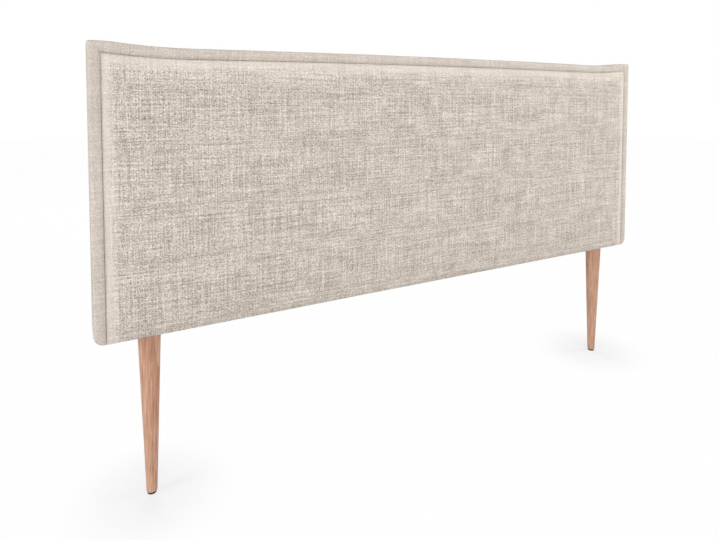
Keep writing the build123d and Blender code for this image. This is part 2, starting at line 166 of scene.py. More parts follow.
# Camera and floor
camera_place = (-0.829, -1.182, 0.844)
camera_tilt = 2.70
camera_turn = 28.08
floor_radius = 12
floor_drop = 0.0003
floor_grey = 0.75
shadow_near = 0.02
shadow_far = 0.2
white_near_share = 0.72
white_far_share = 0.985


def linear(red, green, blue):
    """Colour of a swatch, from 0 to 255, as the shaders want it."""
    parts = [value / 255 for value in (red, green, blue)]
    return tuple(p / 12.92 if p <= 0.04045 else ((p + 0.055) / 1.055) ** 2.4 for p in parts) + (1,)


def length_field(name, default, description):
    """A size that the sidebar shows as a length."""
    return FloatProperty(name=name, description=description, default=default, unit="LENGTH", precision=4)


def colour_field(name, default, description):
    """A colour that the sidebar shows as a swatch."""
    return FloatVectorProperty(name=name, description=description, default=default, size=4,
                               subtype="COLOR", min=0, max=1)


class HeadboardPadding(bpy.types.PropertyGroup):
    """Sizes of the padding and of the cloth over it"""

    cloth: length_field("Cloth", 0.0012, "Thickness of the cover cloth")
    border_width: length_field("Border width", 0.023, "From the seam to the edge of the board")
    border_roll: length_field("Border roll", 0.0065, "Width of the border's rounded outer edge")
    border_drop: length_field("Border drop", 0.0055, "How far the rounded outer edge falls back")
    seam_roll: length_field("Seam roll", 0.014, "Width of the border's roll into the seam")
    seam_depth: length_field("Seam depth", 0.004, "How deep the seam lies below the border")
    seam_gap: length_field("Seam gap", 0.0002, "Space between the two cloths in the seam")
    panel_roll: length_field("Panel roll", 0.016, "Width of the panel's rounded edge")
    low_roll: length_field("Lower roll", 0.011, "Width of the panel's rounded lower edge")
    swell: length_field("Swell", 0.0076, "How much of the panel's fullness rises slowly inside that edge")
    swell_width: length_field("Swell width", 0.036, "Distance over which two thirds of the slow rise is made")
    puff: length_field("Puff", 0.0016, "The most that the cloth simulation may move a point")
    pucker: length_field("Pucker", 0.0004, "Depth of the small gathers beside the seam")
    lump: length_field("Lump", 0.0005, "Unevenness of the wadding under the cloth")
    hem: length_field("Hem", 0.035, "Width of the cloth turned onto the back")
    back_radius: length_field("Back edge", 0.0025, "Rounding where the cloth turns onto the back")


class HeadboardFinish(bpy.types.PropertyGroup):
    """Colours and thread sizes"""

    light_thread: colour_field("Light thread", linear(242, 231, 220), "Lightest yarn of the cloth")
    dark_thread: colour_field("Dark thread", linear(130, 117, 105), "Darkest yarn of the cloth")
    thread: length_field("Thread", 0.0011, "Distance from one thread to the next")
    slub_length: length_field("Slub length", 0.025, "Length of the lighter and darker stretches")
    slub_width: length_field("Slub width", 0.0022, "Width of the lighter and darker stretches")
    light_beech: colour_field("Light beech", linear(210, 170, 144), "Lighter grain of the legs")
    dark_beech: colour_field("Dark beech", linear(160, 110, 82), "Darker grain of the legs")
    light_pine: colour_field("Light pine", linear(228, 200, 152), "Lighter grain of the frame")
    dark_pine: colour_field("Dark pine", linear(196, 154, 104), "Darker grain of the frame")


class HeadboardBack(bpy.types.PropertyGroup):
    """Sizes of the back cover and its staples"""

    across: IntProperty(name="Staples across", description="Staples in the top and bottom rows",
                        default=21, min=2)
    up: IntProperty(name="Staples up", description="Staples between the rows at each side", default=7, min=1)
    margin: length_field("Margin", 0.010, "From the edge of the back cover to the staples")
    sag: length_field("Sag", 0.0022, "How far the back cover sinks between the timbers")
    crease: length_field("Crease", 0.0005, "Height of the creases between staples")
    turn: FloatProperty(name="Turn", description="The most that a staple is turned", default=0.03,
                        subtype="ANGLE")
    seed: IntProperty(name="Seed", description="Seed of the staples' turns", default=7)


class HeadboardStage(bpy.types.PropertyGroup):
    """Camera and light"""

    lens: FloatProperty(name="Lens", description="Focal length", default=27.072, unit="CAMERA")
    rise: FloatProperty(name="Rise", description="Share of the frame that the view is shifted", default=0.205)
    ambient: FloatProperty(name="Ambient", description="Strength of the light from all round", default=0.17)
    key: FloatProperty(name="Front lamp", description="Power of the lamp in front", default=136, unit="POWER")
    left: FloatProperty(name="Left lamp", description="Power of the lamp on the left", default=98,
                        unit="POWER")
    right: FloatProperty(name="Right lamp", description="Power of the lamp on the right", default=26,
                         unit="POWER")
    top: FloatProperty(name="Top lamp", description="Power of the lamp above", default=12, unit="POWER")
    back: FloatProperty(name="Back lamp", description="Power of the lamp behind", default=90, unit="POWER")


# Outline of the board and of the seam

def bow(first, middle, last):
    """Height along the circle through three points of the front view."""
    (ax, az), (bx, bz), (cx, cz) = first, middle, last
    twice = 2 * (ax * (bz - cz) + bx * (cz - az) + cx * (az - bz))
    a, b, c = ax * ax + az * az, bx * bx + bz * bz, cx * cx + cz * cz
    ux = (a * (bz - cz) + b * (cz - az) + c * (az - bz)) / twice
    uz = (a * (cx - bx) + b * (ax - cx) + c * (bx - ax)) / twice
    reach = math.hypot(ax - ux, az - uz)
    side = math.copysign(1, bz - uz)
    return lambda x: uz + side * np.sqrt(np.maximum(reach ** 2 - (x - ux) ** 2, 0))


def top_line(x, top, ear_x):
    """Height of the top edge at x: raised at the ends, with a shallow bow between them."""
    x = np.abs(x)
    dip = top - ear_height
    ear = bow((ear_x, top), ((ear_x + dip_x) / 2, top - ear_height * ear_bend_share), (dip_x, dip))
    crown = bow((dip_x, dip), (0, top - centre_drop), (-dip_x, dip))
    return np.where(x >= ear_x, top, np.where(x >= dip_x, ear(x), crown(x)))


def board_line(x):
    """Height of the board's top edge at x."""
    return top_line(x, board_top, board_half - ear_length)


def seam_line(x, spread, width):
    """Height of the seam's top edge at x; spread is half the seam gap, towards the border."""
    return top_line(x, board_top - width + spread, board_half - width - top_corner)


def rounding(distance, width, soft=0.55):
    """Height share of a padded edge: 0 at the edge, 1 from its width inwards; soft evens its slope."""
    near = 1 - np.clip(distance / width, 0, 1)
    return (1 - soft) * np.sqrt(1 - near ** 2) + soft * (1 - near ** 2)


def ease(share):
    """Smooth step from 0 to 1."""
    share = np.clip(share, 0, 1)
    return share * share * (3 - 2 * share)


def steps(length, fine, pitch):
    """Distances along a length: a fine series at both ends and an even pitch between."""
    count = max(round((length - 2 * fine[-1]) / pitch), 1)
    middle = np.linspace(fine[-1], length - fine[-1], count + 1)[1:-1]
    return np.concatenate([fine, middle, length - np.array(fine[::-1])])


# Meshes

def run_lengths(points, axis):
    """Distance walked along each row (axis 1) or column (axis 0) of a grid of points."""
    walked = np.linalg.norm(np.diff(points, axis=axis), axis=2)
    start = np.zeros_like(np.take(walked, [0], axis=axis))
    return np.concatenate([start, np.cumsum(walked, axis=axis)], axis=axis)


def sew(name, patches, weld=1e-6):
    """One mesh from grids of points with their thread coordinates, welded where they meet."""
    mesh = bpy.data.meshes.new(name)
    points, faces, threads, start = [], [], [], 0
    for grid, uv in patches:
        rows, columns = grid.shape[:2]
        index = start + np.arange(rows * columns).reshape(rows, columns)
        corners = [index[:-1, :-1], index[:-1, 1:], index[1:, 1:], index[1:, :-1]]
        quads = np.stack(corners, axis=-1).reshape(-1, 4)
        flat_uv = uv.reshape(-1, 2)
        points.append(grid.reshape(-1, 3))
        faces.append(quads)
        threads.append(flat_uv[quads.reshape(-1) - start])
        start += rows * columns
    mesh.from_pydata(np.concatenate(points).tolist(), [], np.concatenate(faces).tolist())
    layer = mesh.uv_layers.new(name="threads")
    layer.data.foreach_set("uv", np.concatenate(threads).astype(np.float32).ravel())
    made = bmesh.new()
    made.from_mesh(mesh)
    bmesh.ops.remove_doubles(made, verts=made.verts, dist=weld)
    bmesh.ops.dissolve_degenerate(made, edges=made.edges, dist=weld)
    bmesh.ops.recalc_face_normals(made, faces=made.faces)
    centre = Vector((0, 0, (board_low + board_top) / 2))
    outward = sum(f.calc_area() * f.normal.dot(f.calc_center_median() - centre) for f in made.faces)
    if outward < 0:
        bmesh.ops.reverse_faces(made, faces=made.faces)
    made.to_mesh(mesh)
    made.free()
    return mesh


def place(name, mesh):
    """New object with this mesh, smooth shaded."""
    piece = bpy.data.objects.new(name, mesh)
    bpy.context.scene.collection.objects.link(piece)
    mesh.polygons.foreach_set("use_smooth", [True] * len(mesh.polygons))
    return piece


def points_of(mesh):
    """Vertices of a mesh as an array."""
    found = np.empty(len(mesh.vertices) * 3, np.float32)
    mesh.vertices.foreach_get("co", found)
    return found.reshape(-1, 3).astype(float)


def move_points(mesh, points):
    """Writes an array of vertices back to its mesh."""
    mesh.vertices.foreach_set("co", points.astype(np.float32).ravel())
    mesh.update()


def settle(piece):
    """Applies the piece's modifiers to its mesh."""
    graph = bpy.context.evaluated_depsgraph_get()
    done = bpy.data.meshes.new_from_object(piece.evaluated_get(graph), preserve_all_data_layers=True,
                                           depsgraph=graph)
    old = piece.data
    piece.modifiers.clear()
    piece.data = done
    done.name = piece.name
    bpy.data.meshes.remove(old)


def subdivide(piece):
    """One applied level of subdivision."""
    finer = piece.modifiers.new("finer", "SUBSURF")
    finer.levels = finer.render_levels = 1
    finer.uv_smooth = "PRESERVE_BOUNDARIES"
    settle(piece)


def thicken(piece, thickness):
    """Gives a single layer of cloth its thickness, inwards, and closes its edges."""
    wall = piece.modifiers.new("wall", "SOLIDIFY")
    wall.thickness = thickness
    wall.offset = -1
    settle(piece)


def puff(piece, held, most, frames=20):
    """Blows the cloth outwards with a cloth simulation; held points stay and none moves far."""
    start = points_of(piece.data)
    group = piece.vertex_groups.new(name="held")
    group.add([int(i) for i in np.flatnonzero(held)], 1, "REPLACE")
    cloth = piece.modifiers.new("cloth", "CLOTH")
    cloth.settings.quality = 4
    cloth.settings.mass = 0.3
    cloth.settings.tension_stiffness = 40
    cloth.settings.compression_stiffness = 40
    cloth.settings.shear_stiffness = 20
    cloth.settings.bending_stiffness = 2
    cloth.settings.use_pressure = True
    cloth.settings.uniform_pressure_force = pressure_behind
    cloth.settings.vertex_group_mass = "held"
    cloth.settings.effector_weights.gravity = 0
    cloth.collision_settings.use_collision = False
    cloth.point_cache.frame_start = 1
    cloth.point_cache.frame_end = frames
    scene = bpy.context.scene
    for step in range(1, frames + 1):
        scene.frame_set(step)
    graph = bpy.context.evaluated_depsgraph_get()
    blown = points_of(piece.evaluated_get(graph).data)
    piece.modifiers.clear()
    piece.vertex_groups.clear()
    scene.frame_set(1)
    blown[:, 1] = np.minimum(blown[:, 1], start[:, 1])
    move = blown - start
    far = np.linalg.norm(move, axis=1, keepdims=True)
    print(piece.name, "puffed by up to", round(float(far.max()) * 1000, 2), "mm")
    move_points(piece.data, start + move * most * np.tanh(far / most) / np.maximum(far, 1e-9))


def nestle(piece, cover, gap):
    """Pushes padding back to where it lies under its cover."""
    found = BVHTree.FromObject(cover, bpy.context.evaluated_depsgraph_get())
    points = points_of(piece.data)
    for point in points:
        spot, normal, _, _ = found.ray_cast(Vector((point[0], -1, point[2])), Vector((0, 1, 0)))
        if spot is not None and spot.y < board_y:
            slope = max(-normal.y, least_slope_share)
            point[1] = max(point[1], min(spot.y + gap / slope, board_y))
    move_points(piece.data, points)


def store(mesh, name, values):
    """Keeps one number for each vertex of a mesh."""
    mesh.attributes.new(name, "FLOAT", "POINT").data.foreach_set("value", values.astype(np.float32))


def gather(mesh, front, distance, sizes, seed, share=1):
    """Moves the cloth's front a little: gathers beside the seam and soft lumps everywhere."""
    points = points_of(mesh)
    for index in np.flatnonzero(front):
        near = distance[index]
        spot = Vector((points[index, 0], 0, points[index, 2]))
        pucker = noise.noise(spot / pucker_length + Vector((seed, 0, 0))) * math.exp(-near / pucker_reach)
        lump = noise.noise(spot / lump_length + Vector((0, seed, 0)))
        lump += small_lump_share * noise.noise(spot / small_lump_length)
        moved = sizes.pucker * pucker + sizes.lump * lump * min(near / lump_start, 1)
        points[index, 1] += share * moved
    move_points(mesh, points)


# Panel

def panel_front(sizes, inset, pitch):
    """Grid of the panel's front, drawn in by an inset."""
    half = board_half - sizes.border_width - sizes.seam_gap / 2 - inset
    low = board_low + inset
    across = steps(2 * half, edge_steps, pitch) - half
    tall = board_top - sizes.border_width - low - inset
    up = steps(tall, edge_steps, pitch)
    x, rise = np.meshgrid(across, up)
    top = seam_line(x, -sizes.seam_gap / 2 - inset, sizes.border_width)
    z = low + rise * (top - low) / tall
    to_side = half - np.abs(x)
    to_top = top - z
    to_low = z - low
    deep = border_y + sizes.seam_depth - crown_y - sizes.swell
    height = rounding(to_side, sizes.panel_roll) * rounding(to_top, sizes.panel_roll)
    height = height * rounding(to_low, sizes.low_roll)
    full = 1
    for distance, width in ((to_side, 1), (to_top, 1), (to_low, low_swell_share)):
        full = full * (1 - np.exp(-distance / (width * sizes.swell_width)))
    y = crown_y + inset + deep * (1 - height) + sizes.swell * (1 - full)
    return np.stack([x, y, z], axis=-1)


def front_threads(grid):
    """Thread coordinates of a front grid: true lengths from its middle."""
    rows, columns = grid.shape[0] // 2, grid.shape[1] // 2
    u = run_lengths(grid, 1)
    v = run_lengths(grid, 0)
    u = u - u[:, [columns]] + grid[:, [columns], 0]
    v = v - v[[rows], :] + grid[[rows], :, 2]
    return np.stack([u, v], axis=-1)


def skirt(edge, edge_uv, depths, away):
    """Rows of cloth from an edge straight back to each depth; away is their way in thread space."""
    grid = np.stack([edge] + [np.stack([edge[:, 0], np.full(len(edge), d), edge[:, 2]], -1) for d in depths])
    gone = run_lengths(grid, 0)[..., None]
    return grid, edge_uv[None] + gone * np.array(away, float)


def under_and_back(edge, edge_uv, sizes, y_steps, half):
    """Cloth from the lower front edge along the underside, round the back edge and up to a hem."""
    rows = [edge]
    for y in y_steps:
        rows.append(np.stack([edge[:, 0], np.full(len(edge), y), np.full(len(edge), board_low)], -1))
    radius = sizes.back_radius
    for angle in np.linspace(0, math.pi / 2, 5)[1:]:
        y = hem_y - radius + radius * math.sin(angle)
        z = board_low + radius - radius * math.cos(angle)
        rows.append(np.stack([edge[:, 0], np.full(len(edge), y), np.full(len(edge), z)], -1))
    for z in np.linspace(board_low + radius, board_low + sizes.hem, 6)[1:]:
        rows.append(np.stack([edge[:, 0], np.full(len(edge), hem_y), np.full(len(edge), z)], -1))
    grid = np.stack(rows)
    grid[..., 0] = np.clip(grid[..., 0], -half, half)
    gone = run_lengths(grid, 0)[..., None]
    return grid, edge_uv[None] + gone * np.array((0, -1.0))


def panel_patches(sizes, inset, depth, pitch, closed):
    """Front, seam walls and, on the cover, the wrap under the board; or a closed pad."""
    front = panel_front(sizes, inset, pitch)
    uv = front_threads(front)
    wall_top = border_y + sizes.seam_depth + inset
    walls = np.linspace(wall_top, depth, 4)[1:]
    patches = [(front, uv),
               skirt(front[:, 0], uv[:, 0], walls, (-1, 0)),
               skirt(front[:, -1], uv[:, -1], walls, (1, 0)),
               skirt(front[-1], uv[-1], walls, (0, 1))]
    if closed:
        patches.append(skirt(front[0], uv[0], walls, (0, -1)))
        back = front.copy()
        back[..., 1] = depth
        patches.append((back, uv))
    else:
        along = np.concatenate([walls, np.linspace(depth, hem_y - sizes.back_radius, 7)[1:]])
        half = board_half - sizes.border_width - sizes.seam_gap / 2
        patches.append(under_and_back(front[0], uv[0], sizes, along, half))
    return patches


def panel_distance(points, sizes, side_share=1):
    """Distance of each point of the panel from the seam; a side share over 1 narrows the painted rim
    highlight at the sides.
    """
    half = board_half - sizes.border_width
    top = seam_line(points[:, 0], 0, sizes.border_width)
    return np.clip(np.minimum(side_share * (half - np.abs(points[:, 0])), top - points[:, 2]), 0, None)


class HEADBOARD_OT_panel(bpy.types.Operator):
    """Padded panel: its cloth cover, the wadding and the foam block"""

    bl_idname = "headboard.panel"
    bl_label = "Padded panel"

    def execute(self, context):
        sizes = context.scene.headboard_padding
        patches = panel_patches(sizes, 0, board_y - board_gap, cover_pitch, closed=False)
        mesh = sew("padded_panel", patches)
        cover = place("padded_panel", mesh)
        points = points_of(mesh)
        seam_bottom = border_y + sizes.seam_depth
        free = (points[:, 1] < seam_bottom - held_depth) & (panel_distance(points, sizes) > panel_held)
        points[free, 1] += puff_start_share * sizes.puff
        move_points(mesh, points)
        puff(cover, ~free, sizes.puff)
        subdivide(cover)
        points = points_of(cover.data)
        distance = panel_distance(points, sizes)
        inward = panel_distance(points, sizes, rim_light_side_share)
        gather(cover.data, points[:, 1] < seam_bottom, distance, sizes, seed=3.7)
        store(cover.data, "calm", calm_share * (1 - ease((distance - calm_start) / calm_width)))
        # Rim is painted light: a painted highlight along the panel's edge and, below 0, painted shade in the
        # seam.
        painted_seam_shade = (1 + shade_share) * (1 - ease(inward / shade_width))
        store(cover.data, "rim", 1 - ease((inward - rim_light_start) / rim_light_width) - painted_seam_shade)
        thicken(cover, sizes.cloth)
        cover.data.materials.append(melange_cloth())
        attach(cover, "root")
        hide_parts("panel_cover")

        layer = sizes.cloth + layer_gap
        patches = panel_patches(sizes, layer, board_y, pad_pitch, closed=True)
        wadding = place("wadding_layer", sew("wadding_layer", patches))
        nestle(wadding, cover, layer)
        wadding.data.materials.append(wadding_fibre())
        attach(wadding, "root")
        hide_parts("panel_wadding")
        layer += wadding_depth
        patches = panel_patches(sizes, layer, board_y, block_pitch, closed=True)
        foam = place("foam_block", sew("foam_block", patches))
        nestle(foam, cover, layer)
        foam.data.materials.append(open_foam())
        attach(foam, "root")
        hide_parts("panel_foam")
        return {"FINISHED"}


# Border

def arc_points(centre, radius, start, end, count):
    """Points along an arc of the front view, angles in degrees."""
    angles = np.radians(np.linspace(start, end, count))
    return np.stack([centre[0] + radius * np.cos(angles), centre[1] + radius * np.sin(angles)], -1)


def border_lines(sizes, pitch):
    """Matching points of the left half: the seam, the board's edge, the hem's end and the strip."""
    seam_x = board_half - sizes.border_width + sizes.seam_gap / 2
    hem_x = board_half - sizes.hem
    round_x = board_half - low_corner
    shoulder = board_top - top_corner
    edge, seam, hem, strip = [], [], [], []

    def part(outer, inner, turned, left):
        edge.append(outer)
        seam.append(inner)
        hem.append(turned)
        strip.append(np.full(len(outer), left))

    def line(first, last, count):
        return np.linspace(first, last, count)

    seam_top = float(seam_line(np.array([seam_x]), sizes.seam_gap / 2, sizes.border_width)[0])
    count = 10
    outer = np.concatenate([[(-seam_x, board_low)],
                            arc_points((-round_x, board_low + low_corner), low_corner, 270, 180, count)])
    inner = line((-seam_x, board_low + strip_start), (-seam_x, board_low + strip_bend), count + 1)
    share = line(0, 1, count + 1)
    turned = np.stack([(seam_x - hem_x) * share ** 3 - seam_x,
                       board_low + hem_start + (sizes.hem - hem_start) * share], -1)
    part(outer, inner, turned, 0)
    count = round((shoulder - board_low - low_corner) / pitch)
    rise = line(0, 1, count + 2)[1:-1]
    side_z = board_low + low_corner + rise * (shoulder - board_low - low_corner)
    seam_z = board_low + strip_bend + rise * (seam_top - seam_corner - board_low - strip_bend)
    hem_z = board_low + sizes.hem + rise * (board_top - board_low - 2 * sizes.hem)
    part(np.stack([np.full(count, -board_half), side_z], -1), np.stack([np.full(count, -seam_x), seam_z], -1),
         np.stack([np.full(count, -hem_x), hem_z], -1), 0)
    outer = arc_points((top_corner - board_half, shoulder), top_corner, 180, 90, 7)
    inner = arc_points((seam_corner - seam_x, seam_top - seam_corner), seam_corner, 180, 90, 7)
    hem_middle = (hem_corner - hem_x, board_top - sizes.hem - hem_corner)
    turned = arc_points(hem_middle, hem_corner, 180, 90, 7)
    part(outer[:4], inner[:4], turned[:4], 0)
    part(outer[4:], inner[4:], turned[4:], 1)
    count = round(board_half / pitch)
    share = np.linspace(1, 0, count + 1)[1:]
    x = -share * (board_half - top_corner)
    x_seam = -share * (seam_x - seam_corner)
    seam_height = seam_line(x_seam, sizes.seam_gap / 2, sizes.border_width)
    part(np.stack([x, board_line(x)], -1), np.stack([x_seam, seam_height], -1),
         np.stack([-share * (hem_x - hem_corner), np.full(count, board_top - sizes.hem)], -1), 1)
    return [np.concatenate(rows) for rows in (seam, edge, hem, strip)]


def mirrored(rows, last):
    """The left half of the lines followed by its mirror image."""
    other = rows[:-1][::-1].copy()
    if rows.ndim == 1:
        return np.concatenate([rows, np.where(other == 0, last, other)])
    other[:, 0] *= -1
    return np.concatenate([rows, other])


def border_height(x, z, sizes):
    """Depth of the border's front at a point: rounded to the outside and into the seam."""
    q_x = np.abs(x) - (board_half - low_corner)
    q_z = board_low + low_corner - z
    outside = np.hypot(np.maximum(q_x, 0), np.maximum(q_z, 0)) + np.minimum(np.maximum(q_x, q_z), 0)
    to_edge = low_corner - outside
    to_top = board_line(x) - z
    seam_half = board_half - sizes.border_width + sizes.seam_gap / 2
    s_x = np.abs(x) - seam_half
    s_z = z - seam_line(np.clip(x, -seam_half, seam_half), sizes.seam_gap / 2, sizes.border_width)
    to_seam = np.hypot(np.maximum(s_x, 0), np.maximum(s_z, 0))
    full = rounding(to_edge, sizes.border_roll) * rounding(to_top, sizes.border_roll)
    edge = sizes.border_drop * (1 - full)
    seam = sizes.seam_depth * (1 - rounding(to_seam, sizes.seam_roll))
    return border_y + (edge ** 4 + seam ** 4) ** 0.25


def border_patches(sizes, pitch):
    """The border strip as patches: front with its seam wall, then sides and hem by strip."""
    seam, edge, hem, strip = (mirrored(rows, 2) for rows in border_lines(sizes, pitch))
    layers = []
    for depth in np.linspace(board_y - board_gap, border_y + sizes.seam_depth, 4)[:-1]:
        layers.append(np.stack([seam[:, 0], np.full(len(seam), depth), seam[:, 1]], -1))
    for share in strip_shares:
        at = seam + (edge - seam) * share
        y = border_height(at[:, 0], at[:, 1], sizes)
        if share == 1:
            y = np.full(len(at), border_y + sizes.border_drop)
        layers.append(np.stack([at[:, 0], y, at[:, 1]], -1))
    front_count = len(layers)
    radius = sizes.back_radius
    inward = hem - edge
    inward = inward / np.linalg.norm(inward, axis=1, keepdims=True)
    for depth in np.linspace(border_y + sizes.border_drop, hem_y - radius, 7)[1:]:
        layers.append(np.stack([edge[:, 0], np.full(len(edge), depth), edge[:, 1]], -1))
    for angle in np.linspace(0, math.pi / 2, 5)[1:]:
        at = edge + inward * radius * (1 - math.cos(angle))
        y = hem_y - radius + radius * math.sin(angle)
        layers.append(np.stack([at[:, 0], np.full(len(at), y), at[:, 1]], -1))
    turned = layers[-1][:, [0, 2]]
    for share in np.linspace(0, 1, 6)[1:]:
        at = turned + (hem - turned) * share
        layers.append(np.stack([at[:, 0], np.full(len(at), hem_y), at[:, 1]], -1))
    grid = np.stack(layers, axis=1)
    walked = run_lengths(grid, 1)
    walked -= walked[:, [3]]
    way = (edge - seam) / np.linalg.norm(edge - seam, axis=1, keepdims=True)
    front_uv = seam[:, None, :] + way[:, None, :] * walked[..., None]
    patches = [(grid[:, :front_count], front_uv[:, :front_count])]
    along = np.concatenate([[0], np.cumsum(np.linalg.norm(np.diff(edge, axis=0), axis=1))])
    middle_side = int(np.argmin(np.abs(edge[: len(edge) // 2, 1] - (board_low + board_top) / 2)))
    for number, away in enumerate([(-1, 0), (0, 1), (1, 0)]):
        own = np.flatnonzero(strip == number)
        if number < 2:
            own = np.append(own, own[-1] + 1)
        if number == 1:
            base_v = np.full(len(own), front_uv[own[len(own) // 2], 3, 1])
            base_u = along[own] - along[len(edge) // 2]
        else:
            side = middle_side if number == 0 else len(edge) - 1 - middle_side
            run = along[own] - along[side]
            base_v = edge[side, 1] + (run if number == 0 else -run)
            base_u = np.full(len(own), seam[side, 0])
        base = np.stack([base_u, base_v], -1)
        uv = base[:, None, :] + walked[own][..., None] * np.array(away, float)
        patches.append((grid[own][:, front_count - 1:], uv[:, front_count - 1:]))
    return patches


def border_pad(sizes, pitch):
    """Closed foam strips under the border cover, which turn over the sides and top of the frame."""
    seam, edge, hem, _ = (mirrored(rows, 2) for rows in border_lines(sizes, pitch))
    way = (edge - seam) / np.linalg.norm(edge - seam, axis=1, keepdims=True)
    inward = (hem - edge) / np.linalg.norm(hem - edge, axis=1, keepdims=True)
    layer = sizes.cloth + layer_gap
    seam, edge = seam + way * layer, edge + inward * layer
    wood = edge + inward * (side_pad - board_gap)
    foot = board_y - board_gap / 2

    def row(at, y):
        return np.stack([at[:, 0], np.broadcast_to(y, len(at)), at[:, 1]], -1)

    first = row(seam, foot)
    layers = [first]
    for share in np.linspace(0, 1, 10):
        at = seam + (edge - seam) * share
        y = border_height(at[:, 0], at[:, 1], sizes) + layer
        layers.append(row(at, np.minimum(y, border_y + sizes.border_drop + layer)))
    layers += [row(edge, y) for y in np.linspace(border_y + sizes.border_drop + layer, frame_back, 4)[1:]]
    layers += [row(wood, frame_back), row(wood, foot), first]
    grid = np.stack(layers, axis=1)
    mesh = sew("foam_border", [(grid, grid[..., [0, 2]])])
    made = bmesh.new()
    made.from_mesh(mesh)
    bmesh.ops.holes_fill(made, edges=[e for e in made.edges if e.is_boundary], sides=0)
    bmesh.ops.recalc_face_normals(made, faces=made.faces)
    made.to_mesh(mesh)
    made.free()
    return mesh


def border_distance(points, sizes):
    """Distance of each point of the border's front from the seam."""
    seam_half = board_half - sizes.border_width
    s_x = np.abs(points[:, 0]) - seam_half
    s_z = points[:, 2] - seam_line(np.clip(points[:, 0], -seam_half, seam_half), 0, sizes.border_width)
    return np.hypot(np.maximum(s_x, 0), np.maximum(s_z, 0))


class HEADBOARD_OT_border(bpy.types.Operator):
    """Padded border: its cloth cover round the sides and top, and the foam strips under it"""

    bl_idname = "headboard.border"
    bl_label = "Padded border"

    def execute(self, context):
        sizes = context.scene.headboard_padding
        mesh = sew("padded_border", border_patches(sizes, cover_pitch))
        cover = place("padded_border", mesh)
        points = points_of(mesh)
        distance = border_distance(points, sizes)
        free = (points[:, 1] < border_y + sizes.seam_depth) & (distance > border_held)
        puff(cover, ~free, border_puff_share * sizes.puff)
        subdivide(cover)
        points = points_of(cover.data)
        distance = border_distance(points, sizes)
        front = points[:, 1] < border_y + sizes.border_drop
        gather(cover.data, front, distance, sizes, seed=8.1, share=border_gather_share)
        store(cover.data, "calm", np.full(len(points), border_calm_share))
        # Rim on the border is painted shade beside the seam.
        store(cover.data, "rim", -shade_share * (1 - ease(distance / border_shade_width)))
        thicken(cover, sizes.cloth)
        cover.data.materials.append(melange_cloth())
        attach(cover, "root")
        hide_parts("left_border_cover", "top_border_cover", "right_border_cover")

        foam = place("foam_border", border_pad(sizes, pad_pitch))
        nestle(foam, cover, sizes.cloth + layer_gap)
        foam.data.materials.append(open_foam())
        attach(foam, "root")
        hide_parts("left_border_foam", "top_border_foam", "right_border_foam")
        return {"FINISHED"}


# Back cover

class HEADBOARD_OT_back_cover(bpy.types.Operator):
    """Thin back cover, stapled over the hems and sunk a little between the timbers"""

    bl_idname = "headboard.back_cover"
    bl_label = "Back cover"

    def execute(self, context):
        back = context.scene.headboard_back
        piece = place("back_cloth", back_sheet(back))
        thicken(piece, back_cloth_thickness)
        piece.data.materials.append(non_woven())
        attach(piece, "root")
        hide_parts("dust_cover")
        return {"FINISHED"}


def with_edges(values, edges):
    """Grid lines with the nearest ones drawn onto the edges of a window."""
    values = values.copy()
    for edge in edges:
        values[np.argmin(np.abs(values - edge))] = edge
    return values


def back_sheet(back):
    """Mesh of the back cover: windows for the wall plates, sag and creases between staples."""
    plate_low, plate_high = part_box("right_wall_hanger")
    window_x = (plate_low.x - window_margin, plate_high.x + window_margin)
    window_z = (plate_low.z - window_margin, plate_high.z + window_margin)
    edges_x = [side * x for side in (-1, 1) for x in window_x]
    across = with_edges(np.linspace(back_low.x, back_high.x, back_columns), edges_x)
    up = with_edges(np.linspace(back_low.z, back_high.z, back_rows), window_z)
    x, z = np.meshgrid(across, up)
    side = np.minimum(x - back_low.x, back_high.x - x)
    end = np.minimum(z - back_low.z, back_high.z - z)
    edge = np.minimum(side, end)
    in_rows = np.minimum(z - board_low - hem_reach, board_top - hem_reach - z)
    in_hem = np.minimum(board_half - hem_reach - np.abs(x), in_rows)
    y = hem_y + back_cloth_thickness - (hem_y - frame_back) * ease(in_hem / hem_step + hem_step_share)
    bay = np.minimum(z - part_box("bottom_rail")[1].z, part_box("top_rail")[0].z - z)
    for name in ("left_stile", "left_middle_stile", "right_middle_stile", "right_stile"):
        low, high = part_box(name)
        bay = np.minimum(bay, np.maximum(low.x - x, x - high.x))
    y -= back.sag * ease(bay / sag_width) * (in_hem > 0)
    for (row, column), _ in np.ndenumerate(x):
        at = row, column
        px, pz = x[at], z[at]
        upright = noise.noise(Vector((px / crease_width, pz / crease_length, 1.3)))
        upright *= math.exp(-end[at] / crease_reach)
        level = noise.noise(Vector((px / crease_length, pz / crease_width, 4.1)))
        level *= math.exp(-side[at] / crease_reach)
        slack = noise.noise(Vector((px / slack_width, pz / slack_height, 9.2)))
        slack *= float(ease(bay[at] / slack_start))
        crease = back.crease * (upright + level) + slack_share * back.crease * slack
        if crease > 0:
            y[at] += crease * min(edge[at] / crease_start + crease_start_share, 1)
        elif bay[at] > crease_start:
            y[at] += crease
    staple_pitch = 2 * (back_high.x - back.margin) / back.across
    pull = staple_pull * np.abs(np.sin(np.pi * (x / staple_pitch + 0.5)))
    inward = np.sign((back_low.z + back_high.z) / 2 - z)
    z = z + inward * pull * np.exp(-end / pull_reach) * (side > pull_corner)
    grid = np.stack([x, y, z], -1)
    uv = np.stack([x, z], -1)
    mesh = sew("back_cloth", [(grid, uv)])
    made = bmesh.new()
    made.from_mesh(mesh)
    inside = [f for f in made.faces
              if window_x[0] < abs(f.calc_center_median().x) < window_x[1]
              and window_z[0] < f.calc_center_median().z < window_z[1]]
    bmesh.ops.delete(made, geom=inside, context="FACES")
    made.to_mesh(mesh)
    made.free()
    if sum(p.normal.y for p in mesh.polygons) < 0:
        mesh.flip_normals()
    return mesh


# Staples

